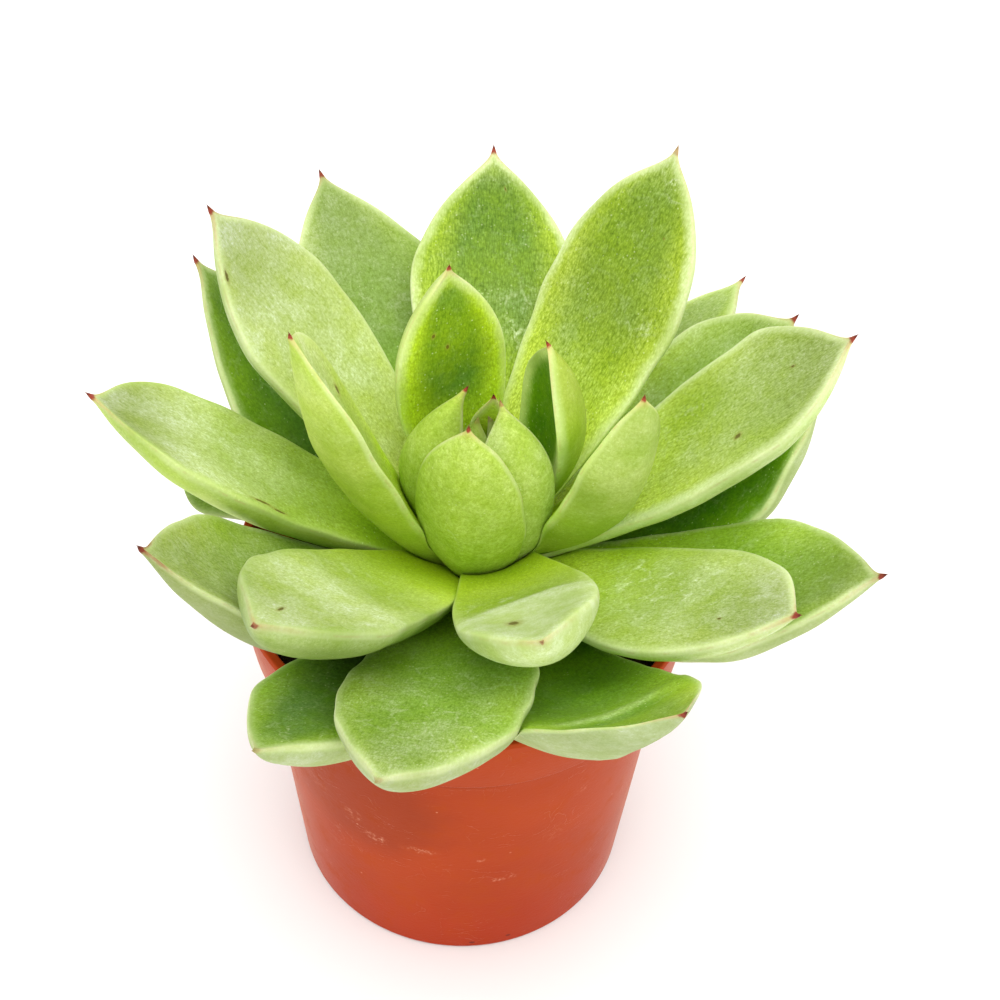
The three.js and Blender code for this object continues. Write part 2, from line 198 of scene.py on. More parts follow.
# ---------------------------------------------------------------- leaves
# name, azimuth, rise, length, rise1, rise2, sweep1, sweep2, roll0, roll1, width, widest, base, point, channel, thick,
# keel, z, reach, blunt, taper: as in the CAD source. Angles in degrees, lengths in mm, outermost leaf first.
LEAVES = [
    ("leaf_outer_01", 164.23, 14.17, 33.30, -6.37, -7.81, 6.45, 3.21, -9.57, 16.96, 11.56, 0.843, 0.394, 3.131, 0.072, 3.75, 0.425, 53.11, 5.20, 2.58, 0.15),
    ("leaf_outer_02", 243.82, 15.78, 50.00, 26.22, -0.88, -0.90, 0.03, -5.18, -3.08, 17.70, 0.643, 0.395, 1.500, 0.090, 5.83, 0.261, 51.18, 5.45, 3.27, 0.10),
    ("leaf_outer_03", 12.31, 7.39, 44.34, 59.62, 2.94, -6.02, -4.28, -2.18, 5.47, 18.41, 0.599, 0.417, 1.954, 0.063, 5.55, 0.300, 51.91, 5.20, 2.60, 0.30),
    ("leaf_outer_04", 146.41, 14.03, 45.58, 34.74, 4.32, -2.86, 3.36, -0.42, -23.15, 20.29, 0.593, 0.421, 1.500, 0.016, 5.51, 0.303, 54.32, 5.07, 1.51, 0.50),
    ("leaf_outer_05", 283.54, 8.05, 55.53, 66.90, -15.78, 27.31, 7.22, -0.46, 15.60, 20.87, 0.558, 0.368, 3.064, 0.258, 5.65, 0.760, 51.84, 5.50, 1.50, 0.15),
    ("leaf_outer_06", 53.07, 11.74, 45.75, 4.55, 0.17, -5.18, -2.08, 3.07, 29.62, 18.24, 0.587, 0.416, 1.820, 0.055, 5.19, 0.352, 54.24, 5.02, 2.60, 0.50),
    ("leaf_outer_07", 224.65, 22.01, 53.18, 37.57, 0.29, -8.28, -7.57, 1.10, -3.28, 21.23, 0.651, 0.387, 1.500, 0.234, 5.91, 0.247, 53.48, 5.19, 1.65, 0.50),
    ("leaf_outer_08", 332.57, 15.18, 50.00, 33.39, -5.02, 4.62, -1.49, -3.88, 3.84, 21.41, 0.652, 0.387, 1.500, 0.105, 6.03, 0.232, 54.16, 5.07, 2.42, 0.50),
    ("leaf_outer_09", 117.88, 19.43, 46.40, 6.14, 2.65, 0.60, -1.68, 0.61, -2.00, 20.72, 0.620, 0.412, 1.500, 0.062, 5.32, 0.353, 57.97, 5.03, 2.60, 0.50),
    ("leaf_outer_10", 266.92, 24.74, 54.04, 6.83, 1.49, -13.42, -2.88, -6.56, 2.28, 20.31, 0.601, 0.375, 2.110, 0.069, 5.69, 0.254, 55.61, 5.08, 5.38, 0.15),
    ("leaf_outer_11", 25.56, 23.89, 41.97, 20.04, 2.54, -1.51, -0.14, -3.14, 0.74, 18.59, 0.654, 0.419, 2.245, 0.049, 5.04, 0.353, 56.32, 4.84, 2.60, 0.50),
    ("leaf_outer_12", 187.11, 31.86, 47.46, 9.27, -1.60, -1.33, -4.53, 0.03, -21.33, 17.38, 0.723, 0.366, 2.373, 0.161, 5.40, 0.232, 56.02, 5.29, 2.52, 0.50),
    ("leaf_outer_13", 316.85, 25.94, 47.41, 14.30, -0.29, 1.31, 1.71, 5.82, -9.41, 19.16, 0.606, 0.412, 2.547, 0.060, 5.21, 0.373, 57.14, 4.87, 3.55, 0.20),
    ("leaf_outer_14", 89.27, 30.14, 42.54, 2.42, 1.20, 2.63, 1.43, -1.75, -4.55, 19.78, 0.642, 0.423, 1.558, 0.066, 5.33, 0.350, 60.28, 4.62, 2.60, 0.50),
    ("leaf_outer_15", 239.44, 38.31, 50.02, 3.66, -2.98, 2.53, -0.89, -3.34, 6.77, 18.10, 0.727, 0.492, 1.623, 0.167, 5.92, 0.237, 56.77, 5.38, 6.24, 0.10),
    ("leaf_outer_16", 0.27, 40.19, 48.40, 10.96, -6.60, 7.87, 2.18, 2.21, 2.01, 18.49, 0.717, 0.456, 2.025, 0.110, 5.53, 0.252, 57.33, 4.95, 3.50, 0.50),
    ("leaf_outer_17", 154.03, 39.96, 45.10, 16.57, -0.33, 1.28, 1.34, -2.55, -4.19, 17.81, 0.667, 0.395, 1.700, 0.077, 5.36, 0.351, 61.27, 4.99, 2.60, 0.50),
    ("leaf_outer_18", 283.71, 33.18, 43.81, 3.20, 13.38, -4.33, -7.05, -6.43, -11.00, 15.75, 0.714, 0.433, 2.099, 0.254, 4.50, 0.192, 59.43, 4.69, 6.16, 0.00),
    ("leaf_outer_19", 48.57, 43.28, 44.88, 11.54, -0.86, 5.86, 6.57, -1.10, 12.46, 18.26, 0.627, 0.572, 1.983, 0.064, 5.29, 0.353, 61.94, 4.40, 2.60, 0.50),
    ("leaf_mid_01", 208.69, 61.16, 48.99, 16.95, -4.68, -3.99, 2.67, 6.16, -3.47, 14.57, 0.644, 0.280, 2.721, 0.227, 4.90, 0.355, 55.79, 4.52, 1.93, 0.30),
    ("leaf_mid_02", 333.40, 48.36, 38.07, 37.24, -2.59, -9.54, -7.75, -2.68, 19.21, 11.09, 0.610, 0.406, 2.178, 0.111, 5.57, 0.437, 59.03, 4.12, 2.03, 0.10),
    ("leaf_mid_03", 123.84, 67.66, 33.18, 27.62, 1.10, 0.00, -0.04, 2.57, 0.76, 14.17, 0.507, 0.444, 1.990, 0.069, 4.59, 0.350, 62.34, 3.54, 2.60, 0.30),
    ("leaf_bud_01", 261.61, 63.10, 33.82, 33.27, -3.16, -1.99, 0.90, 1.80, 5.46, 12.62, 0.449, 0.280, 3.316, 0.150, 3.76, 0.356, 55.95, 4.57, 2.57, 0.15),
    ("leaf_mid_04", 11.48, 60.51, 27.64, 48.34, -1.39, -7.77, -11.07, -15.17, -0.34, 12.89, 0.665, 0.406, 1.500, 0.243, 4.44, 0.249, 62.44, 3.60, 1.72, 0.15),
    ("leaf_bud_02", 201.93, 61.66, 24.24, 65.00, 2.50, 5.66, 5.08, -29.86, 0.56, 9.27, 0.400, 0.502, 1.500, 0.149, 3.88, 0.289, 60.61, 3.94, 1.55, 0.20),
    ("leaf_bud_03", 296.98, 54.19, 27.47, 72.94, 4.64, -0.77, 0.79, 11.11, 2.30, 9.26, 0.550, 0.496, 2.165, 0.111, 3.43, 0.312, 58.85, 4.21, 2.60, 0.20),
    ("leaf_bud_04", 74.22, 82.43, 14.83, 12.12, 0.74, 1.92, 0.90, -2.99, -3.23, 5.51, 0.586, 0.420, 1.928, 0.209, 2.60, 0.350, 64.47, 2.35, 2.60, 0.20),
    ("leaf_bud_05", 220.99, 85.72, 12.53, 8.24, 0.51, 0.09, 0.05, -0.00, 0.00, 5.00, 0.600, 0.420, 2.000, 0.200, 2.00, 0.350, 66.53, 1.18, 2.60, 0.20),
    ("leaf_bud_06", 0.34, 87.47, 10.56, 11.38, 0.92, -0.50, -0.22, -0.00, -0.00, 4.00, 0.600, 0.420, 2.000, 0.200, 1.60, 0.350, 67.90, 0.85, 2.60, 0.20),
]
KEYS = ("name", "azimuth", "rise", "length", "rise1", "rise2", "sweep1", "sweep2", "roll0", "roll1", "width",
        "widest", "base", "point", "channel", "thick", "keel", "z", "reach", "blunt", "taper")
LEAVES = [dict(zip(KEYS, row)) for row in LEAVES]
ALONG, AROUND = 100, 72

# How each leaf looks. painted_light0, painted_light5, painted_light1: painted light and shade, a brightness fitted for
# each
# leaf at the base, the middle and the tip; under, under_end: the same painted light and shade for the underside; warm0,
# warm1:
# yellow (above 0) against dark green (below 0) at the base and at the tip, the dark green also serving as painted
# shade; hue: the same on the underside; wax_sheen0, wax_sheen1: wax and painted sheen on the upper face, at the base
# and at the tip; wax,
# wax_end: wax on the underside; dark_green_and_shade: dark green middle, partly painted shade; rim: light margin, and
# how wide in mm;
# rows: strength of the rows of cells; rub: dull rubbed places; line: thin whitish line on the margin; blend: width in
# mm over which the two faces change into each other; soft: how far the margin is rounded; point_red: colour of the
# point.
LOOK = {
    "leaf_outer_01": dict(nib=1.0, painted_light0=0.6, painted_light5=0.62, painted_light1=0.62, under=0.6, under_end=0.6, warm0=-0.161, warm1=-0.211, hue=0.0, wax_sheen0=0.0, wax_sheen1=0.034, wax=0.45, wax_end=0.5, dark_green_and_shade=0.6, rim=0.2, rim_wide=1.2, rows=0.35, rub=0.15, line=0.2, brown=0.35, grit=1.0, frost=0.25, blend=0.2, soft=0, point_red=0.0),
    "leaf_outer_02": dict(nib=1.0, painted_light0=1.037, painted_light5=1.5, painted_light1=0.958, under=0.728, under_end=0.728, warm0=-1.0, warm1=0.159, hue=0.227, wax_sheen0=0.0, wax_sheen1=0.114, wax=0.841, wax_end=0.8, dark_green_and_shade=0.82, rim=0.45, rim_wide=1.55, rows=0.35, rub=0.15, line=0.4, brown=0.6, grit=1.0, frost=0.25, blend=0.8, soft=3, point_red=0.3),
    "leaf_outer_03": dict(nib=1.0, painted_light0=1.5, painted_light5=1.5, painted_light1=1.5, under=0.792, under_end=0.798, warm0=-0.772, warm1=-0.5, hue=-0.023, wax_sheen0=0.012, wax_sheen1=0.0, wax=0.388, wax_end=0.479, dark_green_and_shade=0.82, rim=0.45, rim_wide=1.55, rows=0.35, rub=0.15, line=0.6, brown=0.35, grit=1.0, frost=0.25, blend=0.2, soft=0, point_red=1.0),
    "leaf_outer_04": dict(nib=1.0, painted_light0=0.65, painted_light5=1.091, painted_light1=0.701, under=0.731, under_end=0.9, warm0=-1.0, warm1=0.045, hue=0.094, wax_sheen0=0.032, wax_sheen1=0.0, wax=0.44, wax_end=0.5, dark_green_and_shade=0.72, rim=0.45, rim_wide=1.55, rows=0.35, rub=0.15, line=0.6, brown=0.35, grit=1.0, frost=0.25, blend=0.2, soft=0, point_red=1.0),
    "leaf_outer_05": dict(nib=1.0, painted_light0=1.5, painted_light5=1.494, painted_light1=0.928, under=0.714, under_end=0.725, warm0=-0.651, warm1=0.511, hue=-0.039, wax_sheen0=0.0, wax_sheen1=0.119, wax=0.662, wax_end=0.745, dark_green_and_shade=0.6, rim=0.3, rim_wide=1.2, rows=0.35, rub=0.15, line=0.5, brown=0.5, grit=1.0, frost=0.25, blend=0.2, soft=0, point_red=1.0),
    "leaf_outer_06": dict(nib=1.0, painted_light0=0.711, painted_light5=0.65, painted_light1=1.009, under=0.9, under_end=0.9, warm0=-0.091, warm1=0.579, hue=0.0, wax_sheen0=0.0, wax_sheen1=0.339, wax=0.45, wax_end=0.5, dark_green_and_shade=0.6, rim=0.8, rim_wide=1.6, rows=0.35, rub=0.15, line=0.6, brown=0.3, grit=1.0, frost=0.25, blend=0.2, soft=0, point_red=1.0),
    "leaf_outer_07": dict(nib=1.0, painted_light0=0.836, painted_light5=0.915, painted_light1=0.741, under=0.555, under_end=0.569, warm0=-0.379, warm1=0.78, hue=0.45, wax_sheen0=0.0, wax_sheen1=0.46, wax=0.477, wax_end=0.533, dark_green_and_shade=0.47, rim=0.5, rim_wide=1.4, rows=0.35, rub=0.15, line=0.6, brown=1.0, grit=1.0, frost=0.1, blend=0.2, soft=0, point_red=1.0),
    "leaf_outer_08": dict(nib=1.0, painted_light0=1.5, painted_light5=1.129, painted_light1=0.65, under=0.758, under_end=0.782, warm0=0.004, warm1=0.24, hue=0.022, wax_sheen0=0.0, wax_sheen1=0.179, wax=0.467, wax_end=0.526, dark_green_and_shade=0.47, rim=0.65, rim_wide=1.5, rows=0.35, rub=0.15, line=0.6, brown=0.35, grit=1.0, frost=0.25, blend=0.2, soft=0, point_red=1.0),
    "leaf_outer_09": dict(nib=1.0, painted_light0=1.5, painted_light5=0.87, painted_light1=0.696, under=0.9, under_end=0.9, warm0=-0.091, warm1=0.329, hue=0.0, wax_sheen0=0.0, wax_sheen1=0.382, wax=0.45, wax_end=0.5, dark_green_and_shade=0.52, rim=0.65, rim_wide=1.6, rows=0.35, rub=0.15, line=0.6, brown=0.35, grit=1.0, frost=0.25, blend=0.2, soft=0, point_red=1.0),
    "leaf_outer_10": dict(nib=1.0, painted_light0=1.5, painted_light5=1.094, painted_light1=0.755, under=0.585, under_end=0.658, warm0=-0.185, warm1=0.276, hue=0.45, wax_sheen0=0.0, wax_sheen1=0.273, wax=0.85, wax_end=0.85, dark_green_and_shade=0.47, rim=0.45, rim_wide=1.55, rows=0.44999999999999996, rub=0.35, line=0.6, brown=0.35, grit=1.0, frost=0.25, blend=0.2, soft=2, point_red=0.3),
    "leaf_outer_11": dict(nib=1.0, painted_light0=1.5, painted_light5=1.18, painted_light1=0.805, under=0.9, under_end=0.9, warm0=0.613, warm1=0.388, hue=0.0, wax_sheen0=0.117, wax_sheen1=0.353, wax=0.45, wax_end=0.5, dark_green_and_shade=0.6, rim=0.85, rim_wide=1.8, rows=0.35, rub=0.15, line=0.6, brown=0.35, grit=1.0, frost=0.25, blend=0.2, soft=0, point_red=1.0),
    "leaf_outer_12": dict(nib=1.0, painted_light0=1.383, painted_light5=1.101, painted_light1=0.65, under=1.2, under_end=1.2, warm0=0.224, warm1=0.843, hue=0.028, wax_sheen0=0.0, wax_sheen1=0.851, wax=0.0, wax_end=0.0, dark_green_and_shade=0.25, rim=0.2, rim_wide=1.2, rows=0.35, rub=0.15, line=0.15, brown=0.35, grit=0.8, frost=0.25, blend=1.5, soft=4, point_red=1.0),
    "leaf_outer_13": dict(nib=1.0, painted_light0=1.45, painted_light5=0.963, painted_light1=0.665, under=0.999, under_end=1.032, warm0=0.566, warm1=0.69, hue=0.447, wax_sheen0=0.053, wax_sheen1=0.632, wax=0.764, wax_end=0.8, dark_green_and_shade=0.37, rim=0.65, rim_wide=1.6, rows=0.35, rub=0.3, line=0.6, brown=0.35, grit=1.0, frost=0.25, blend=1.0, soft=3, point_red=1.0),
    "leaf_outer_14": dict(nib=1.0, painted_light0=1.5, painted_light5=1.001, painted_light1=0.839, under=0.9, under_end=0.9, warm0=0.906, warm1=0.372, hue=0.0, wax_sheen0=0.237, wax_sheen1=0.024, wax=0.45, wax_end=0.5, dark_green_and_shade=0.8, rim=0.75, rim_wide=1.9, rows=0.774, rub=0.15, line=0.6, brown=0.4, grit=1.0, frost=0.5, blend=0.2, soft=0, point_red=1.0),
    "leaf_outer_15": dict(nib=1.2, painted_light0=1.253, painted_light5=0.933, painted_light1=0.755, under=0.724, under_end=0.799, warm0=0.624, warm1=0.74, hue=-0.297, wax_sheen0=0.0, wax_sheen1=0.9, wax=0.022, wax_end=0.119, dark_green_and_shade=0.1, rim=0.1, rim_wide=1.2, rows=0.35, rub=0.3, line=0.25, brown=0.35, grit=0.6, frost=0.25, blend=2.5, soft=8, point_red=0.8),
    "leaf_outer_16": dict(nib=1.0, painted_light0=1.5, painted_light5=0.95, painted_light1=0.65, under=1.2, under_end=1.2, warm0=0.927, warm1=0.487, hue=0.127, wax_sheen0=0.11, wax_sheen1=0.386, wax=0.682, wax_end=0.732, dark_green_and_shade=0.32, rim=0.9, rim_wide=2.0, rows=0.5, rub=0.15, line=0.6, brown=0.35, grit=1.0, frost=0.25, blend=0.2, soft=0, point_red=1.0),
    "leaf_outer_17": dict(nib=1.0, painted_light0=1.156, painted_light5=0.949, painted_light1=0.698, under=0.9, under_end=0.92, warm0=1.0, warm1=0.895, hue=0.0, wax_sheen0=0.401, wax_sheen1=0.9, wax=0.5, wax_end=0.6, dark_green_and_shade=0.25, rim=0.6, rim_wide=1.5, rows=0.35, rub=0.15, line=0.6, brown=0.5, grit=0.8, frost=0.25, blend=0.2, soft=0, point_red=1.0),
    "leaf_outer_18": dict(nib=1.7, painted_light0=1.085, painted_light5=0.867, painted_light1=0.776, under=1.099, under_end=1.139, warm0=0.578, warm1=0.475, hue=0.429, wax_sheen0=0.0, wax_sheen1=0.463, wax=0.819, wax_end=0.8, dark_green_and_shade=0.1, rim=0.0, rim_wide=1.2, rows=0.35, rub=0.15, line=0.2, brown=0.35, grit=0.7, frost=0.25, blend=2.5, soft=8, point_red=0.55),
    "leaf_outer_19": dict(nib=1.0, painted_light0=1.371, painted_light5=0.91, painted_light1=0.863, under=1.15, under_end=1.15, warm0=1.0, warm1=0.548, hue=0.0, wax_sheen0=0.214, wax_sheen1=0.068, wax=0.45, wax_end=0.5, dark_green_and_shade=0.65, rim=0.75, rim_wide=1.9, rows=0.748, rub=0.15, line=0.6, brown=0.5, grit=1.0, frost=0.45, blend=0.2, soft=0, point_red=0.5),
    "leaf_mid_01": dict(nib=1.35, painted_light0=1.5, painted_light5=1.107, painted_light1=1.09, under=1.126, under_end=1.135, warm0=0.832, warm1=1.0, hue=0.186, wax_sheen0=0.0, wax_sheen1=0.729, wax=0.148, wax_end=0.317, dark_green_and_shade=0.5, rim=0.5, rim_wide=1.4, rows=0.5, rub=0.08, line=0.5, brown=0.15, grit=1.0, frost=0.12, blend=0.2, soft=1, point_red=1.0),
    "leaf_mid_02": dict(nib=1.35, painted_light0=1.5, painted_light5=1.5, painted_light1=1.5, under=1.145, under_end=1.155, warm0=0.484, warm1=0.184, hue=-0.231, wax_sheen0=0.0, wax_sheen1=0.0, wax=0.03, wax_end=0.408, dark_green_and_shade=0.5, rim=0.5, rim_wide=1.4, rows=0.5, rub=0.08, line=0.4, brown=0.15, grit=1.0, frost=0.12, blend=0.2, soft=1, point_red=1.0),
    "leaf_mid_03": dict(nib=1.35, painted_light0=1.5, painted_light5=1.5, painted_light1=1.5, under=1.0, under_end=1.0, warm0=0.747, warm1=0.799, hue=0.0, wax_sheen0=0.039, wax_sheen1=0.03, wax=0.5, wax_end=0.55, dark_green_and_shade=0.85, rim=0.75, rim_wide=1.8, rows=0.704, rub=0.08, line=0.5, brown=0.15, grit=1.0, frost=0.2, blend=0.2, soft=1, point_red=1.0),
    "leaf_bud_01": dict(nib=1.5, painted_light0=1.0, painted_light5=1.0, painted_light1=1.0, under=1.08, under_end=1.098, warm0=0.4, warm1=0.2, hue=0.45, wax_sheen0=0.05, wax_sheen1=0.12, wax=0.274, wax_end=0.317, dark_green_and_shade=0.3, rim=0.4, rim_wide=1.2, rows=0.3, rub=0.0, line=0.5, brown=0.15, grit=1.0, frost=0.12, blend=0.3, soft=1, point_red=1.0),
    "leaf_mid_04": dict(nib=1.35, painted_light0=1.5, painted_light5=1.5, painted_light1=1.5, under=0.958, under_end=0.974, warm0=-0.6, warm1=-0.6, hue=0.205, wax_sheen0=0.0, wax_sheen1=0.0, wax=0.113, wax_end=0.167, dark_green_and_shade=0.75, rim=1.0, rim_wide=2.8, rows=0.3, rub=0.08, line=0.4, brown=0.15, grit=1.0, frost=0.12, blend=1.2, soft=1, point_red=1.0),
    "leaf_bud_02": dict(nib=1.5, painted_light0=1.0, painted_light5=1.0, painted_light1=1.0, under=1.035, under_end=1.035, warm0=0.4, warm1=0.2, hue=0.45, wax_sheen0=0.05, wax_sheen1=0.12, wax=0.274, wax_end=0.331, dark_green_and_shade=0.3, rim=0.4, rim_wide=1.2, rows=0.3, rub=0.0, line=0.5, brown=0.15, grit=1.0, frost=0.12, blend=0.3, soft=1, point_red=1.0),
    "leaf_bud_03": dict(nib=1.5, painted_light0=1.0, painted_light5=1.0, painted_light1=1.0, under=1.0, under_end=1.054, warm0=0.4, warm1=0.2, hue=0.45, wax_sheen0=0.05, wax_sheen1=0.12, wax=0.495, wax_end=0.545, dark_green_and_shade=0.3, rim=0.4, rim_wide=1.2, rows=0.3, rub=0.0, line=0.5, brown=0.15, grit=1.0, frost=0.12, blend=0.3, soft=1, point_red=0.6),
    "leaf_bud_04": dict(nib=1.5, painted_light0=1.4, painted_light5=1.4, painted_light1=1.3, under=1.2, under_end=1.2, warm0=0.212, warm1=0.493, hue=0.0, wax_sheen0=0.0, wax_sheen1=0.0, wax=0.25, wax_end=0.3, dark_green_and_shade=0.0, rim=0.4, rim_wide=1.2, rows=0.3, rub=0.0, line=0.5, brown=0.15, grit=1.0, frost=0.12, blend=0.3, soft=1, point_red=1.0),
    "leaf_bud_05": dict(nib=1.5, painted_light0=0.6, painted_light5=0.6, painted_light1=0.6, under=0.8, under_end=0.85, warm0=-0.3, warm1=-0.3, hue=0.0, wax_sheen0=0.05, wax_sheen1=0.12, wax=0.25, wax_end=0.3, dark_green_and_shade=0.3, rim=0.1, rim_wide=1.2, rows=0.3, rub=0.0, line=0.1, brown=0.15, grit=1.0, frost=0.12, blend=0.3, soft=1, point_red=0.3),
    "leaf_bud_06": dict(nib=1.5, painted_light0=0.45, painted_light5=0.45, painted_light1=0.5, under=0.45, under_end=0.5, warm0=-0.3, warm1=-0.3, hue=0.0, wax_sheen0=0.05, wax_sheen1=0.12, wax=0.25, wax_end=0.3, dark_green_and_shade=0.3, rim=0.1, rim_wide=1.2, rows=0.3, rub=0.0, line=0.1, brown=0.15, grit=1.0, frost=0.12, blend=0.3, soft=1, point_red=0.3),
}

# Leaves with a fold across the upper face: place at the middle and how much further on at the margins, height, length of
# the rise before it and of the fall after it (0 for a fall that ends at the tip).
FOLDS = {
    "leaf_outer_18": (0.6, 0.1, 1.3, 0.3, 0),
    "leaf_outer_05": (0.69, 0.0, 0.45, 0.16, 0.05),
}

# Small things on single leaves, at (place along, place across -1 to 1): dry spots with a size in mm, and rubbed
# patches, some of them painted sheen and glints, with a size in mm.
SPOTS = {
    "leaf_outer_18": [(0.8, 0.3, 0.72, 1.3)],
    "leaf_outer_15": [(0.883, 0.05, 0.5, 1.5)],
    "leaf_outer_17": [(0.85, -0.88, 0.42, 1.6)],
    "leaf_mid_01": [(0.66, 0.6, 0.5, 1.4)],
    "leaf_mid_03": [(0.65, -0.1, 0.28, 1.2), (0.717, -0.4, 0.28, 1.2)],
    "leaf_mid_02": [(0.94, 0.75, 0.45, 1.3)],
    "leaf_outer_16": [(0.66, 0.45, 0.35, 1.3), (0.83, -0.15, 0.22, 1.3)],
    "leaf_outer_13": [(0.8, 0.35, 0.22, 1.2)],
    "leaf_outer_14": [(0.87, 0.3, 0.22, 1.2)],
    "leaf_outer_12": [(0.55, -0.86, 0.24, 5.5), (0.5, -0.9, 0.22, 4.5)],
}
RUBS_AND_SHEEN = {
    "leaf_outer_18": [(0.52, 0.35, 3.5, 0.9)],
    "leaf_outer_15": [(0.48, 0.3, 4.5, 0.5), (0.62, 0.7, 3.5, 0.45), (0.8, 0.0, 5.0, 0.3)],
    "leaf_outer_10": [(0.72, -0.1, 6.0, 0.7), (0.78, -0.6, 4.5, 0.8)],
    "leaf_outer_13": [(0.42, -0.3, 4.0, 0.9), (0.6, -0.1, 6.0, 1.0), (0.8, -0.1, 5.0, 0.7)],
    # the patch near the tip is a painted highlight along a fold
    "leaf_outer_19": [(0.55, 0.6, 2.0, 0.7), (0.92, 0.5, 2.4, 1.5)],
    "leaf_outer_14": [(0.48, 0.35, 3.6, 1.2), (0.93, 0.0, 1.8, 0.9)],
    # painted glints
    "leaf_bud_01": [(0.56, 0.2, 1.3, 1.0), (0.5, 0.25, 3.0, 0.5)],
    "leaf_outer_02": [(0.85, 0.0, 4.0, 0.6)],
    "leaf_outer_16": [(0.55, -0.25, 5.0, 0.4)],
    "leaf_outer_12": [(0.6, 0.2, 5.0, 0.5)],
    "leaf_outer_09": [(0.6, 0.0, 5.0, 0.45)],
}


def leaf_points(q, seed):
    """The leaf's skin as an (ALONG, AROUND, 3) grid of points in mm, its tip and base points, and the facts that its
    material reads: place across and along in mm, distance from the margin, from the tip, and the side."""
    t_ = np.linspace(0, 1, ALONG + 1)[:-1]
    s = 1 - (1 - t_) ** 1.5
    fine = np.linspace(0, 1, 801)
    e = np.radians(q["rise"] + q["rise1"] * fine + q["rise2"] * fine**2)
    a = np.radians(q["azimuth"] + q["sweep1"] * fine + q["sweep2"] * fine**2)
    t = np.stack([np.cos(e) * np.cos(a), np.cos(e) * np.sin(a), np.sin(e)], -1)
    p = np.zeros((801, 3))
    p[1:] = np.cumsum((t[1:] + t[:-1]) / 2 / 800 * q["length"], axis=0)
    a0 = math.radians(q["azimuth"])
    p += np.array([AXIS[0] + q["reach"] * math.cos(a0), AXIS[1] + q["reach"] * math.sin(a0), q["z"]])
    n0 = np.stack([-np.sin(e) * np.cos(a), -np.sin(e) * np.sin(a), np.cos(e)], -1)
    r0 = np.cross(t, n0)
    roll = np.radians(q["roll0"] + q["roll1"] * fine)[:, None]
    r1 = np.cos(roll) * r0 + np.sin(roll) * n0
    n1 = np.cos(roll) * n0 - np.sin(roll) * r0
    at = lambda x: np.stack([np.interp(s, fine, x[:, k]) for k in range(3)], -1)
    P, T, R, N = at(p), at(t), at(r1), at(n1)
    tip = p[-1] + 0.3 * t[-1]

    L, W = q["length"], q["width"]
    d = (1 - s) * L
    # the blade ends a little short of the tip, which is a small point of its own
    nib_long = min(0.85, 0.05 * L)
    sb = np.clip(s / (1 - 0.8 * nib_long / L), 0, 1)
    u = np.linspace(-0.3, 1.3, 1601)
    grow = q["base"] + (1 - q["base"]) * np.sin(np.clip(u / q["widest"], 0, 1) * math.pi / 2) ** 1.3
    fall = 1 - np.clip((u - q["widest"]) / (1 - q["widest"]), 0, 1.4) ** q["point"]
    form = np.where(u < q["widest"], grow, fall)
    kernel = np.exp(-((np.arange(-90, 91) / 30.0) ** 2) / 2)
    form_soft = np.convolve(form, kernel / kernel.sum(), "same")
    sharp = np.clip((np.abs(u - q["widest"]) / 0.12), 0, 1) ** 2
    form = form_soft * (1 - sharp) + form * sharp
    w = W / 2 * np.clip(np.interp(sb, u, form), 0, None)
    look = LOOK[q["name"]]
    w = w * (1 - q["taper"] * np.exp(-((d / 2.6) ** 2)))
    nib = 0.30 * np.sqrt(np.clip(d / nib_long, 0, 1)) * (1 - 0.25 * np.clip(1 - d / nib_long, 0, 1))
    w = np.sqrt(w**2 + nib**2)
    th = q["thick"] * np.where(s < 0.5, 0.42 + 0.58 * np.sin(np.clip(s, 0, 0.5) * math.pi),
                               1 - np.clip((sb - 0.5) / 0.5, 0, 1) ** q["blunt"])
    th = np.sqrt(th**2 + (1.7 * nib) ** 2)

    ang = np.arange(AROUND) / AROUND * 2 * math.pi
    c, sn = np.cos(ang), np.sin(ang)
    v = np.sign(c) * np.abs(c) ** 0.8
    lower = (1 - q["keel"]) * np.abs(sn) ** 0.9 + q["keel"] * (1 - np.abs(v))
    upper = np.abs(sn) ** 0.62
    top = sn >= 0
    y = np.where(top[None, :], 0.16 * th[:, None] * upper[None, :], -0.84 * th[:, None] * lower[None, :])
    y = y + q["channel"] * w[:, None] * v[None, :] ** 2
    y = y + np.where(top[None, :], 0.05 * th[:, None] * (1 - v[None, :] ** 2), 0)
    x = w[:, None] * v[None, :]
    if q["name"] in FOLDS:
        at_, more, high, rise_, fall_ = FOLDS[q["name"]]
        crest = at_ + more * v[None, :] ** 2
        up_ = np.clip((s[:, None] - crest + rise_) / rise_, 0, 1)
        down = np.clip((1 - s[:, None]) / (1 - crest) if fall_ == 0 else (crest + fall_ - s[:, None]) / fall_, 0, 1)
        shape = np.where(s[:, None] < crest, up_**1.6, down if fall_ == 0 else down**1.5)
        y = y + np.where(top[None, :], high * shape * (1 - np.abs(v[None, :]) ** 3), 0)
    along = s[:, None] * L + 0 * x

    # natural unevenness: the whole blade waves a little, its faces swell and dip, and its margins wander
    free = smooth(s, 0.12, 0.45)[:, None] * smooth(d, 0.3, 4.0)[:, None]
    y = y + free * 0.10 * wander(x, along, seed, 19.0)
    y = y + free * np.where(top[None, :], 0.05, 0.06) * (1 - v[None, :] ** 4) * wander(x + 40 * top[None, :], along, seed + 1, 8.0)
    edge_wave = np.where(v >= 0, 1.0, 0.0)[None, :]
    y = y + free * 0.11 * np.abs(v[None, :]) ** 3 * wander(along * 0 + 30 * edge_wave, along, seed + 2, 9.0)
    x = x * (1 + free * 0.012 * wander(along * 0 + 30 * edge_wave, along, seed + 3, 8.0))

    G = P[:, None, :] + x[..., None] * R[:, None, :] + y[..., None] * N[:, None, :]

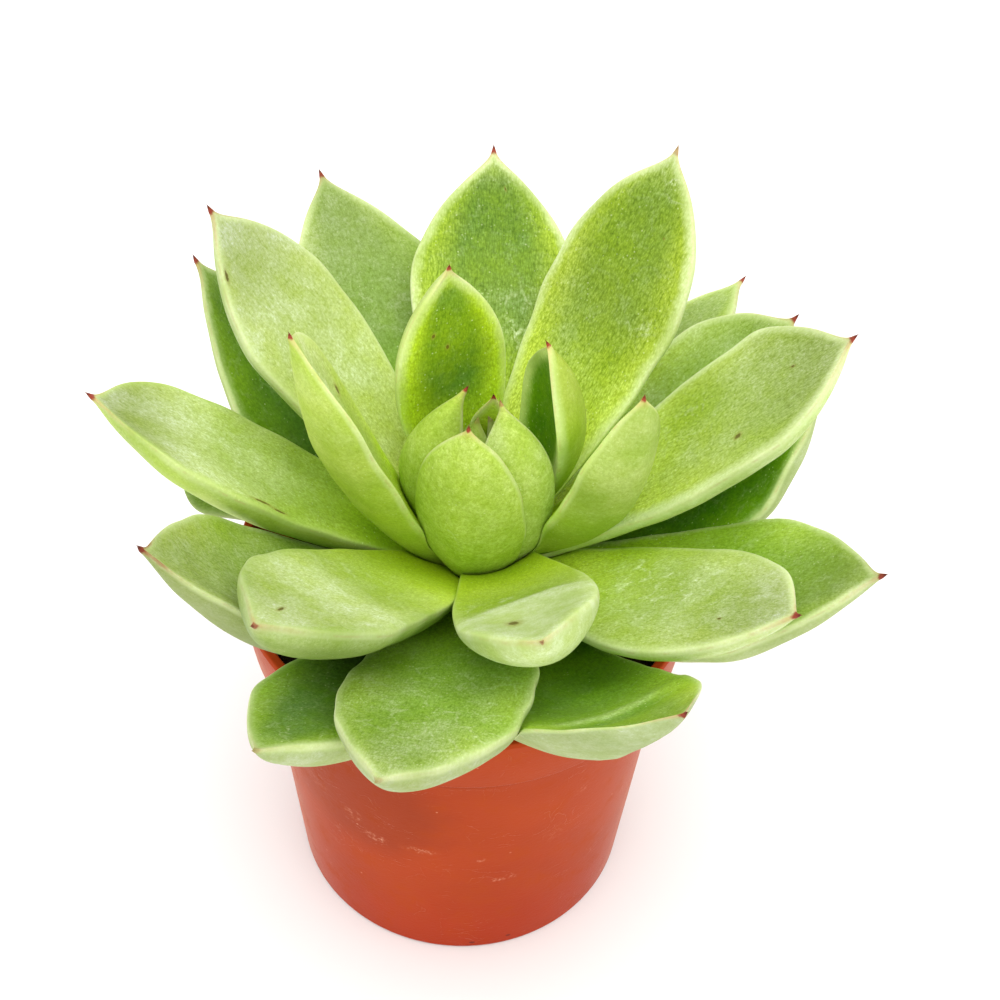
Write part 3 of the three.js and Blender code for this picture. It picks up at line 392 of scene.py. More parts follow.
    # margins a little rounded, more so where the leaf has a blunt end
    part = (0.5 * smooth(s, 0.1, 0.3) * smooth(d, 0.6, 2.5))[:, None, None]
    more = (smooth(s, 0.45, 0.75) * smooth(d, 0.4, 2.0))[:, None, None]
    for turn in range(10):
        k = part if turn < 2 else more if turn < 2 + look["soft"] else 0 * part
        G = G + k * (np.roll(G, 1, 1) + np.roll(G, -1, 1) - 2 * G) / 4

    # distance over the skin from the nearer margin
    ring = np.linalg.norm(np.roll(G, -1, 1) - G, axis=-1)  # from i to i + 1
    half, quarter = AROUND // 2, AROUND // 4
    edge = np.zeros((ALONG, AROUND))
    for start, step_ in ((0, 1), (0, -1), (half, 1), (half, -1)):
        run = np.zeros(ALONG)
        for k in range(1, quarter + 1):
            i = (start + step_ * k) % AROUND
            run = run + (ring[:, (start + step_ * (k - 1)) % AROUND] if step_ > 0 else ring[:, i])
            edge[:, i] = run if k < quarter else np.minimum(run, np.where(edge[:, i] > 0, edge[:, i], 1e9))
    side = 0.5 + 0.5 * np.where(top[None, :], 1, -1) * smooth(edge, 0.0, 0.3 + look["blend"] * smooth(s, 0.35, 0.7)[:, None])
    facts = {"across": x, "along": along, "edge": edge, "tip": d[:, None] + 0 * x, "side": side,
             "v": v[None, :] + 0 * x, "s": s[:, None] + 0 * x}
    return G, tip, P[0] - 0.5 * T[0] + N[0] * y[0].mean(), N, facts


def leaf_faces():
    faces = []
    n = AROUND
    for k in range(ALONG - 1):
        for i in range(n):
            j = (i + 1) % n
            faces.append((k * n + i, (k + 1) * n + i, (k + 1) * n + j, k * n + j))
    tip, base = ALONG * n, ALONG * n + 1
    last = (ALONG - 1) * n
    for i in range(n):
        j = (i + 1) % n
        faces.append((last + i, tip, last + j))
        faces.append((base, i, j))
    return faces


LEAF_FACES = leaf_faces()
LEAF_TRIS = [t for f in LEAF_FACES for t in ([f] if len(f) == 3 else [(f[0], f[1], f[2]), (f[0], f[2], f[3])])]


def ease_grid(g, times=2):
    """Smooths a field on the leaf's grid, round it and along it."""
    for _ in range(times):
        g = (np.roll(g, 1, 1) + 2 * g + np.roll(g, -1, 1)) / 4
        up, down = np.vstack([g[:1], g[:-1]]), np.vstack([g[1:], g[-1:]])
        g = (up + 2 * g + down) / 4
    return g


def press(grid, normals, along, trees, clear=0.10, rounds=3):
    """Presses one leaf clear of the leaves further in. A point of the upper face that lies inside one of them, or over it
    close to the stem, goes straight down, away from the upper face, until it is clear. The underside gives way to keep the
    leaf some of its thickness."""
    half = AROUND // 2
    face = grid[:, : half + 1]
    low_of = (AROUND - np.arange(half + 1)) % AROUND
    down = -normals[:, None, :] + 0 * face
    drop = np.zeros(face.shape[:2])
    lift = 9.0
    for turn in range(rounds):
        moved = False
        for low, high, tree in trees:
            now = face + down * drop[..., None]
            near = np.argwhere(((now > low - 3.0) & (now < high + 3.0)).all(-1))
            for k, i in near:
                p, way = Vector(now[k, i]), Vector(down[k, i])
                hit, nor, _, dist = tree.ray_cast(p + way * 1e-4, way, lift)
                if hit is None:
                    continue
                if nor.dot(way) > 0:
                    go = dist + clear
                elif along[k] < 0.30 and dist < 2.0:
                    out, nor2, _, far = tree.ray_cast(hit + way * 1e-3, way, lift)
                    if out is None:
                        continue
                    go = dist + far + clear
                else:
                    continue
                drop[k, i] += go
                moved = True
        if not moved:
            break
    if drop.max() <= 0:
        return grid
    soft = drop.copy()
    for _ in range(6):
        wide = np.pad(soft, 1, mode="edge")
        soft = (wide[1:-1, :-2] + wide[1:-1, 2:] + wide[:-2, 1:-1] + wide[2:, 1:-1] + 2 * soft) / 6
        soft = np.maximum(soft, drop)
    g = grid.copy()
    thick = np.linalg.norm(grid[:, : half + 1] - grid[:, low_of], axis=-1)
    g[:, : half + 1] = face + down * soft[..., None]
    give = np.clip(soft - 0.65 * thick, 0, None)
    inner_cols = np.arange(1, half)
    g[:, low_of[inner_cols]] = grid[:, low_of[inner_cols]] + down[:, inner_cols] * give[:, inner_cols][..., None]
    return g


grids, tips, bases, normals, notes = {}, {}, {}, {}, {}
for k, q in enumerate(LEAVES):
    n = q["name"]
    grids[n], tips[n], bases[n], normals[n], notes[n] = leaf_points(q, 1000 + 17 * k)

inner = []  # leaves further in, which keep their shape
for q in reversed(LEAVES):
    n = q["name"]
    g = press(grids[n], normals[n], notes[n]["s"][:, 0], inner)
    grids[n] = g
    flat = np.vstack([g.reshape(-1, 3), tips[n], bases[n]])
    inner.append((flat.min(0), flat.max(0), BVHTree.FromPolygons([Vector(p) for p in flat], LEAF_TRIS)))


# ---------------------------------------------------------------- leaf skin


def leaf_skin(name, c, rows_in, grain_in, clump_in):
    m = Nodes(name)
    lf = m.attr("lf", vector=True)  # across mm, along mm, leaf number * 100 (+ 40 on the underside)
    edge, tip, side = m.attr("edge"), m.attr("tip"), m.attr("side")
    pale, dark_green_and_shade, painted_light, warm, rubbed_and_sheen = m.attr("pale"), m.attr("dark_green_and_shade"), m.attr("painted_light"), m.attr("warm"), m.attr("rubbed_and_sheen")
    x, y, z = m.split(lf)
    centred = lambda f: m.math("SUBTRACT", f, 0.5)

    pos = m.vec("SCALE", m.coord(), scale=1000.0)  # mm
    big = m.noise(pos, 0.15, 3.0, 0.55)
    mid = m.noise(pos, 0.55, 4.0, 0.62)
    fine = m.noise(pos, 2.6, 3.0, 0.6)

    # cells: loose rows along the leaf, broken into dots and short dashes, with an even grain over them
    warp = m.noise(m.join(m.math("MULTIPLY", x, 0.8), m.math("MULTIPLY", y, 0.4), z), 1.0, 2.0, 0.6)
    rowx = m.math("ADD", m.math("MULTIPLY", x, 4.7), m.math("MULTIPLY", warp, 1.5))
    cells = m.voronoi(m.join(rowx, m.math("MULTIPLY", y, 1.9), z), 1.0, random=0.8)
    streak = m.noise(m.join(m.math("MULTIPLY", rowx, 0.9), m.math("MULTIPLY", y, 0.42), z), 1.35, 2.0, 0.6)
    grain = m.noise(pos, 2.5, 4.0, 0.92)
    clump = m.noise(m.vec("ADD", pos, (31.0, 7.0, 3.0)), 0.9, 3.0, 0.6)

    # upper face: green, yellower at the base, darker in the middle with dark green and painted shade, light at the
    # margin
    top = m.mix(warm, c["mid"], c["bright"])
    dark = m.math("MULTIPLY", dark_green_and_shade, m.step(m.math("ADD", m.math("MULTIPLY", mid, 0.7), m.math("MULTIPLY", big, 0.5)), 0.35, 0.75, 0.72, 1.0))
    top = m.mix(dark, top, c["dark"])

    # underside: paler, waxy
    low = m.mix(m.step(big, 0.35, 0.7), c["under"], c["under2"])
    low = m.mix(warm, low, c["bright"])
    low = m.mix(dark_green_and_shade, low, c["dark"])
    col = m.mix(side, low, top)

    # white wax and painted sheen: a cloudy layer, broken up by the cells under it
    cloud = m.math("ADD", m.math("MULTIPLY", mid, 0.75), m.math("MULTIPLY", big, 0.45))
    wax_sheen_veil = m.math("MULTIPLY", pale, m.step(cloud, 0.40, 0.80, 0.62, 1.08))
    flakes = m.math("MULTIPLY", m.step(clump, 0.48, 0.66), m.step(grain, 0.44, 0.62))
    wax_sheen_veil = m.math("ADD", wax_sheen_veil, m.math("MULTIPLY", m.math("MULTIPLY", flakes, m.step(cloud, 0.52, 0.72)), m.math("MULTIPLY_ADD", pale, 0.15, 0.02)), clamp=True)
    col = m.mix(wax_sheen_veil, col, c["wax_sheen"])

    # the light margin, uneven in width
    wide = m.math("ADD", edge, m.math("ADD", m.math("MULTIPLY", centred(mid), 1.5), m.math("MULTIPLY", centred(clump), 0.7)))
    wide = m.math("DIVIDE", wide, m.attr("rim_wide"))
    rim = m.math("MULTIPLY", m.step(wide, 1.0, 0.15), m.attr("rim"))
    # painted shade: where a leaf's colour is painted darker, its margin is lifted back so that it stays light
    lift = m.math("POWER", painted_light, -0.6)  # the margin stays light on a dark leaf
    lift = m.join(lift, lift, lift)
    col = m.mix(rim, col, m.mix(1.0, c["rim"], lift, "MULTIPLY"))
    hem = m.math("ADD", edge, m.math("ADD", m.math("MULTIPLY", centred(mid), 0.5), m.math("MULTIPLY", centred(grain), 0.35)))
    col = m.mix(m.math("MULTIPLY", m.step(hem, 0.62, 0.22), m.attr("hem")), col, m.mix(1.0, c["hem"], lift, "MULTIPLY"))

    # rubbed places, and on some leaves painted sheen and glints: dull clouds of fine dots, and a few short curved
    # strokes
    turn = m.vec("ADD", pos, m.vec("SCALE", m.vec("SUBTRACT", m.noise(pos, 0.45, 2.0, colour=True), (0.5, 0.5, 0.5)), scale=2.6))
    arc = m.voronoi(turn, 0.30, "DISTANCE_TO_EDGE")
    stroke = m.math("MULTIPLY", m.step(arc, 0.085, 0.02), m.step(m.math("ADD", mid, m.math("MULTIPLY", fine, 0.30)), 0.60, 0.74))
    patch = m.math("MULTIPLY", m.step(m.noise(turn, 0.36, 4.0, 0.7), 0.50, 0.66), m.step(grain, 0.40, 0.62, 0.30, 1.0))
    rub = m.math("MULTIPLY", rubbed_and_sheen, m.math("MAXIMUM", stroke, m.math("MULTIPLY", patch, 0.65)), clamp=True)
    col = m.mix(m.math("MULTIPLY", rub, 0.62), col, c["wax_sheen"])

    # the pattern of cells in the colour: light cells are whiter, dark ones greener
    keep = m.math("MULTIPLY", m.step(wide, 0.2, 1.15, 0.32, 1.0), m.attr("grit"))
    rows = m.math("MULTIPLY", m.attr("rows"), rows_in)
    dots = m.math("MULTIPLY", m.math("SUBTRACT", 0.42, cells), rows)
    lines = m.math("ADD", dots, m.math("MULTIPLY", centred(streak), m.math("MULTIPLY", rows, 0.85)))
    lines = m.math("ADD", lines, m.math("MULTIPLY", centred(grain), grain_in))
    lines = m.math("MULTIPLY", lines, keep)
    gain = m.math("MAXIMUM", m.math("ADD", lines, 1.0), 0.3)
    lumps = m.math("ADD", m.math("MULTIPLY", centred(clump), clump_in), m.math("MULTIPLY", centred(mid), 0.8 * clump_in))
    soft = m.math("MAXIMUM", m.math("ADD", lumps, 1.0), 0.4)
    red_ = m.math("MULTIPLY", m.math("POWER", gain, 1.2), m.math("POWER", soft, 1.35))
    blue_ = m.math("MULTIPLY", m.math("POWER", gain, 2.4), m.math("POWER", soft, 3.0))
    col = m.mix(1.0, col, m.join(red_, m.math("MULTIPLY", gain, soft), blue_), "MULTIPLY")

    # painted glints: single cells painted yellowish and bright as highlights
    pin = m.voronoi(pos, 2.6, out="Distance")
    pin_rand = m.split(m.voronoi(pos, 2.6, out="Color"))[0]
    painted_glint = m.math("MULTIPLY", m.step(pin, 0.36, 0.14), m.step(pin_rand, 0.78, 0.93))
    painted_glint = m.math("MULTIPLY", painted_glint, m.step(m.noise(pos, 0.30, 2.0), 0.40, 0.62, 0.25, 1.0))
    col = m.mix(m.math("MULTIPLY", painted_glint, m.math("MULTIPLY", m.attr("grit"), 0.38)), col, c["painted_glint"])

    # specks, and the dry spots that single leaves have
    speck = m.voronoi(m.vec("ADD", lf, (7.3, 3.1, 0)), 0.13, out="Distance")
    speck_rand = m.split(m.voronoi(m.vec("ADD", lf, (7.3, 3.1, 0)), 0.13, out="Color"))[1]
    spot = m.math("MULTIPLY", m.step(speck, 0.034, 0.016), m.step(speck_rand, 0.88, 0.91))
    col = m.mix(m.math("MULTIPLY", spot, 0.5), col, srgb(122, 96, 36))
    for a in ("spot_a", "spot_b"):
        off = m.vec("LENGTH", m.attr(a, vector=True))
        off = m.math("ADD", off, m.math("MULTIPLY", centred(fine), 1.1))
        col = m.mix(m.math("MULTIPLY", m.step(off, 2.0, 0.9), 0.40), col, srgb(150, 140, 56))
        col = m.mix(m.math("MULTIPLY", m.step(off, 1.0, 0.55), 0.85), col, srgb(96, 84, 26))

    # thin dry line on the margin's very edge, broken
    line = m.math("MULTIPLY", m.step(edge, 0.20, 0.04), m.step(m.noise(pos, 0.5, 3.0, 0.6), 0.46, 0.62))
    line = m.math("MULTIPLY", line, m.attr("red"))
    col = m.mix(m.math("MULTIPLY", line, 0.25), col, srgb(190, 156, 112))

    # tip: a brownish margin, a small light patch, then the red-brown point with its dark end
    red = m.attr("red")
    brown = m.math("MULTIPLY", m.step(m.math("ADD", tip, m.math("MULTIPLY", mid, 6.0)), 9.0, 3.5), m.step(m.math("ADD", edge, m.math("MULTIPLY", centred(fine), 0.5)), 0.60, 0.10))
    col = m.mix(m.math("MULTIPLY", m.math("MULTIPLY", brown, red), m.attr("brown")), col, srgb(172, 116, 72))
    blush = m.math("MULTIPLY", m.step(m.math("ADD", tip, m.math("MULTIPLY", mid, 2.0)), 3.4, 1.6), m.step(edge, 1.2, 0.1, 0.45, 1.0))
    col = m.mix(m.math("MULTIPLY", m.math("MULTIPLY", blush, red), 0.34), col, srgb(214, 176, 116))
    near = m.math("MULTIPLY", tip, m.attr("nib"))
    at = m.math("ADD", near, m.math("MULTIPLY", centred(fine), 0.5))
    col = m.mix(m.math("MULTIPLY", m.step(at, 1.25, 0.80), red), col, srgb(152, 66, 48))
    end = m.step(m.math("ADD", near, m.math("MULTIPLY", centred(fine), 0.35)), 0.62, 0.20)
    col = m.mix(m.math("MULTIPLY", m.math("MULTIPLY", end, red), 0.80), col, srgb(92, 34, 30))

    # painted light and shade: the whole colour is multiplied by the leaf's fitted brightness
    col = m.mix(1.0, col, m.join(painted_light, painted_light, painted_light), "MULTIPLY")

    height = m.math("ADD", m.math("MULTIPLY", lines, 0.6), m.math("MULTIPLY", fine, 0.35))
    n = m.bump(m.math("ADD", height, m.math("MULTIPLY", mid, 0.7)), 0.00010, 0.60)
    rough = m.math("SUBTRACT", m.step(wax_sheen_veil, 0.0, 0.6, 0.46, 0.62), m.math("MULTIPLY", painted_glint, 0.12))
    mat = m.set(Base_Color=col, Roughness=rough, Normal=n)
    m.set(Specular_IOR_Level=0.13, Subsurface_Weight=0.10, Subsurface_Radius=(0.9, 1.3, 0.35), Subsurface_Scale=0.0010)
    return mat


def leaf_colours(mid, bright, dark, rim, under, under2, wax_sheen, hem=(216, 226, 170)):
    return dict(mid=srgb(*mid), bright=srgb(*bright), dark=srgb(*dark), rim=srgb(*rim), under=srgb(*under),
                under2=srgb(*under2), wax_sheen=srgb(*wax_sheen), painted_glint=srgb(236, 246, 190), hem=srgb(*hem))


# middle, bright, dark (also painted shade), rim, underside, underside 2, wax and painted sheen
OUTER = ((134, 174, 26), (178, 198, 30), (46, 104, 3), (212, 226, 164), (152, 178, 64), (170, 190, 92), (206, 220, 168))
MIDDLE = ((140, 178, 22), (176, 200, 24), (42, 98, 2), (204, 219, 138), (156, 184, 40), (174, 194, 66), (204, 216, 152))
BUD = ((142, 180, 26), (170, 196, 28), (60, 116, 4), (202, 217, 130), (152, 184, 36), (168, 194, 52), (202, 216, 150))
SKIN = {
    "leaf_outer": leaf_skin("leaf_outer_skin", leaf_colours(*OUTER), 0.85, 1.35, 0.11),
    "leaf_mid": leaf_skin("leaf_mid_skin", leaf_colours(*MIDDLE), 0.62, 1.25, 0.14),
    "leaf_bud": leaf_skin("leaf_bud_skin", leaf_colours(*BUD), 0.2, 1.5, 0.36),
}

LOW_GRIT = {"leaf_outer": 0.55, "leaf_mid": 0.75, "leaf_bud": 0.9}  # how clearly the cells show on the underside

for k, q in enumerate(LEAVES):
    n = q["name"]
    kind = n[: n.rindex("_")]
    f = notes[n]
    look = LOOK[n]
    seed = 300 + 7 * k
    co = np.vstack([grids[n].reshape(-1, 3), tips[n], bases[n]])
    obj = mesh_object(n + "_skin", co, LEAF_FACES)
    flat = lambda a, t, b: np.concatenate([np.asarray(a, float).ravel(), [t, b]])
    top = f["side"]
    s, v, x, y = f["s"], f["v"], f["across"], f["along"]
    w1 = wander(x, y, seed, 14.0)
    w2 = wander(x, y, seed + 1, 6.0)
    put(obj, "lf", np.stack([flat(x, 0, 0), flat(y, q["length"], 0),
                             flat(100.0 * (k + 1) + 40 * (top < 0.5), 100.0 * (k + 1), 100.0 * (k + 1))], -1))
    put(obj, "edge", flat(f["edge"], 0, 1))
    put(obj, "tip", flat(f["tip"], 0, q["length"]))
    put(obj, "side", flat(top, 0.5, 0.5))
    run = smooth(s, 0.15, 0.9)
    warm = look["warm0"] * (1 - run) + look["warm1"] * run + 0.10 * w1
    warm = top * warm + (1 - top) * (look["hue"] + 0.06 * w1)
    # dark green middle, partly painted shade, to which the dark green end of warm is added
    mid_ = (1 - smooth(np.abs(v), 0.35, 0.92)) * smooth(s, 0.15, 0.5) * smooth(s, 0.98, 0.86)
    dark_green_and_shade = look["dark_green_and_shade"] * top * mid_ * (0.85 + 0.15 * w1)
    dark_green_and_shade = 1 - (1 - np.clip(dark_green_and_shade, 0, 1)) * (1 - np.clip(-warm, 0, 1))
    # wax and painted sheen on the upper face
    wax_sheen_top = (look["wax_sheen0"] * (1 - run) + look["wax_sheen1"] * run) * (0.9 + 0.22 * w1 + 0.12 * w2)
    wax_sheen_top = wax_sheen_top + look["frost"] * np.exp(-((f["tip"] / 3.8) ** 2))
    smooth_part = np.zeros_like(s)
    if n in FOLDS:
        at_, more_, high_, rise_, fall_ = FOLDS[n]
        crest = at_ + more_ * v**2
        ridge = smooth(s, crest - 0.06, crest - 0.005) * smooth(s, crest + 0.07, crest + 0.015)
        facet = smooth(s, crest - 0.03, crest + 0.02)
        if fall_ == 0:
            smooth_part = facet * top
            # the turned-down end is painted pale, wax with painted light, and the ridge gets a painted highlight
            wax_sheen_top = wax_sheen_top * (1 - facet) + facet * 0.78 * (0.93 + 0.10 * w2) + 0.5 * ridge
        else:
            # a painted highlight on the crest of the fold, and painted shade just past it
            crest_highlight = smooth(s, crest - 0.035, crest - 0.005) * smooth(s, crest + 0.03, crest + 0.008)
            shade_ = smooth(s, crest + 0.005, crest + 0.035) * smooth(s, crest + 0.10, crest + 0.04)
            wax_sheen_top = wax_sheen_top + 0.26 * crest_highlight * smooth(np.abs(v), 0.9, 0.3)
            dark_green_and_shade = np.clip(dark_green_and_shade + 0.22 * shade_ * top * smooth(np.abs(v), 0.9, 0.3), 0, 1)
    pale_low = (look["wax"] * (1 - run) + look["wax_end"] * run) * (0.9 + 0.22 * w1 + 0.12 * w2)
    pale = top * wax_sheen_top + (1 - top) * pale_low
    # painted light and shade for each leaf, from the base to the tip, and on the underside
    early, late = smooth(s, 0.22, 0.60), smooth(s, 0.60, 0.95)
    painted_light = look["painted_light0"] * (1 - early) + look["painted_light5"] * (early - late) + look["painted_light1"] * late
    painted_light = (top * painted_light + (1 - top) * (look["under"] * (1 - run) + look["under_end"] * run)) * (1 + 0.03 * w1)
    rubs_and_sheen = np.zeros_like(s)
    # rubbed patches and painted glints; on the buds they go on the underside
    face = 1 - top if kind == "leaf_bud" else top
    for (sa, va, size, amount) in RUBS_AND_SHEEN.get(n, ()):
        off = np.hypot((s - sa) * q["length"], (v - va) * q["width"] / 2)
        rubs_and_sheen = np.maximum(rubs_and_sheen, amount * face * np.exp(-((off / size) ** 2)))
    rubs_and_sheen = np.maximum(rubs_and_sheen, look["rub"] * top * smooth(s, 0.3, 0.6))
    for a, spot in zip(("spot_a", "spot_b"), (list(SPOTS.get(n, ())) + [None, None])[:2]):
        if spot is None:
            put(obj, a, np.full((len(co), 3), 50.0))
        else:
            sa, va, size, long_ = spot
            off = np.stack([flat((v - va) * q["width"] / 2 / size, 50, 50), flat((s - sa) * q["length"] / size / long_, 50, 50),
                            flat(20.0 * (top < 0.5), 0, 0)], -1)
            put(obj, a, off)
    put(obj, "warm", flat(np.clip(warm, 0, 1), 0, 1))
    put(obj, "dark_green_and_shade", flat(np.clip(dark_green_and_shade, 0, 1), 0, 0))
    put(obj, "pale", flat(np.clip(pale, 0, 1), 0.2, 0))
    put(obj, "rubbed_and_sheen", flat(rubs_and_sheen, 0, 0))
    low_grit = LOW_GRIT[kind]
    put(obj, "grit", flat((low_grit + (1 - low_grit) * top * look["grit"]) * (1 - 0.6 * smooth_part), 0, 0))
    put(obj, "rows", flat(look["rows"] * top, 0, 0))
    put(obj, "rim", flat(np.clip(look["rim"] * (1 + 0.3 * w1) * (0.6 + 0.4 * smooth(s, 0.1, 0.4)) * (0.55 + 0.45 * top), 0, 1), 0, 0))
    put(obj, "hem", flat(np.clip(look["line"] * (0.8 + 0.4 * w2) * (0.7 + 0.3 * top) * smooth(s, 0.05, 0.35), 0, 1), 0, 0))
    put(obj, "rim_wide", flat(look["rim_wide"] * (0.55 + 0.45 * top), 1, 1))
    put(obj, "red", flat(np.full(s.shape, look["point_red"]), look["point_red"], 0))
    put(obj, "brown", flat(np.full(s.shape, look["brown"]), look["brown"], 0))
    put(obj, "nib", flat(np.full(s.shape, look["nib"]), look["nib"], 1))
    put(obj, "painted_light", flat(painted_light, 1, 1))
    obj.data.materials.append(SKIN[kind])
    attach(obj, "root")
    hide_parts(n)

# ---------------------------------------------------------------- pot


def lathe(profile, segments, centre=(0.0, 0.0)):
    """Points and faces of a closed turned solid. profile is [r, z] from the axis out and back, with both ends on the axis."""
    ring = [i for i, (r, _) in enumerate(profile) if r > 1e-6]
    co, first = [], {}
    ca = np.cos(np.arange(segments) / segments * 2 * math.pi)
    sa = np.sin(np.arange(segments) / segments * 2 * math.pi)
    for i, (r, z) in enumerate(profile):
        first[i] = len(co)
        if i in ring:
            co += [(centre[0] + r * ca[k], centre[1] + r * sa[k], z) for k in range(segments)]
        else:
            co.append((centre[0], centre[1], z))
    faces = []
    for i in range(len(profile) - 1):
        a, b = first[i], first[i + 1]
        for k in range(segments):
            l = (k + 1) % segments
            if i in ring and i + 1 in ring:
                faces.append((a + k, a + l, b + l, b + k))
            elif i + 1 in ring:
                faces.append((a, b + l, b + k))
            elif i in ring:
                faces.append((a + k, a + l, b))
    return np.array(co), faces


def rounded(points, radii, steps=5):
    """A profile with its corners rounded: radii has one number for each point."""
    out = []
    for i, p in enumerate(points):
        r = radii[i]
        if r <= 0 or i in (0, len(points) - 1):
            out.append(tuple(p))
            continue
        a, b, c = (np.array(points[j], float) for j in (i - 1, i, i + 1))
        u, w = (a - b) / np.linalg.norm(a - b), (c - b) / np.linalg.norm(c - b)
        half = math.acos(np.clip(np.dot(u, w), -1, 1)) / 2
        d = min(r / math.tan(half), 0.49 * np.linalg.norm(a - b), 0.49 * np.linalg.norm(c - b))
        p0, p1 = b + u * d, b + w * d
        for k in range(steps + 1):
            t = k / steps
            out.append(tuple((1 - t) ** 2 * p0 + 2 * t * (1 - t) * b + t * t * p1))
    return out


BASE_R, WALL_TOP_R, BAND_R, RIM_R = 21.2, 25.2, 26.3, 27.5
BAND_Z, HEIGHT, WALL = 44.4, 54.0, 1.1
slope = (WALL_TOP_R - BASE_R) / BAND_Z
inside = lambda z: BASE_R + slope * z - WALL
POT = [
    (0, 0), (8.5, 0), (9.3, 1.6), (BASE_R - 4.4, 1.6), (BASE_R - 3.6, 0), (BASE_R - 0.15, 0), (BASE_R, 0.25),
    (BASE_R + slope * 14, 14), (BASE_R + slope * 28, 28), (BASE_R + slope * 40, 40),
    (WALL_TOP_R - 0.02, BAND_Z - 0.3), (BAND_R, BAND_Z), (26.95, 49.0), (RIM_R, 53.4), (27.3, HEIGHT), (26.3, HEIGHT),
    (26.15, 53.2), (25.2, 45.4), (inside(BAND_Z), BAND_Z - 0.2), (inside(24), 24), (inside(4.2), 4.2),
    (inside(3.0) - 1.2, 3.0), (0, 3.0),
]
POT_R = [0, 0.4, 0.4, 0.4, 0.4, 0.1, 0.1, 0, 0, 0, 0.3, 0.35, 0, 0.3, 0.3, 0.3, 0.3, 0.3, 0.3, 0, 0.8, 0.8, 0]
pot_co, pot_faces = lathe(rounded(POT, POT_R), 192)
pot = mesh_object("pot_body", pot_co, pot_faces)

# four drain holes
for k in range(4):
    a = math.radians(45 + 90 * k)
    bm = bmesh.new()
    bmesh.ops.create_cone(bm, cap_ends=True, segments=48, radius1=2.6 * MM, radius2=2.6 * MM, depth=8 * MM,
                          matrix=Matrix.Translation((13 * math.cos(a) * MM, 13 * math.sin(a) * MM, 2 * MM)))
    tool_mesh = bpy.data.meshes.new("drain_tool")
    bm.to_mesh(tool_mesh)
    bm.free()
    tool = bpy.data.objects.new("drain_tool", tool_mesh)
    bpy.context.scene.collection.objects.link(tool)
    mod = pot.modifiers.new("drain", "BOOLEAN")
    mod.operation, mod.solver, mod.object = "DIFFERENCE", "EXACT", tool
    bpy.context.view_layer.update()
    made = bpy.data.meshes.new_from_object(pot.evaluated_get(bpy.context.evaluated_depsgraph_get()))
    pot.modifiers.clear()
    pot.data = made
    bpy.data.objects.remove(tool)
pot.data.name = "pot_body"
pot.data.shade_smooth()
pot.data.set_sharp_from_angle(angle=math.radians(50))


# scuffs at (x, y, z) mm with their reach along each axis and strength, and small dark marks at the foot
SCUFFS = (
    ((-9.8, -21.3, 25.4), (2.4, 2.4, 1.1), 0.75),
    ((-12.5, -19.8, 28.5), (1.8, 1.8, 1.6), 0.45),
    ((-4.6, -23.2, 25.6), (3.2, 3.0, 0.9), 0.55),
    ((3.0, -23.4, 24.4), (0.9, 1.5, 0.9), 0.8),
    ((5.4, -22.4, 18.4), (3.2, 3.0, 0.5), 0.8),
    ((6.9, -22.3, 18.9), (0.9, 1.5, 1.0), 0.8),
    ((12.0, -20.4, 27.0), (3.0, 3.0, 2.5), 0.16),
    ((-17.0, -16.0, 30.0), (3.0, 3.0, 1.6), 0.2),
    ((15.0, -19.6, 35.0), (1.4, 2.0, 1.6), 0.3),
    ((10.0, 22.0, 22.0), (4.0, 4.0, 1.2), 0.5),
    ((-20.0, 10.0, 18.0), (4.0, 4.0, 1.0), 0.5),
)
MARKS = (((2.3, -21.2, 1.2), (0.45, 1.0, 0.35)), ((6.9, -20.2, 1.8), (0.40, 1.0, 0.35)))


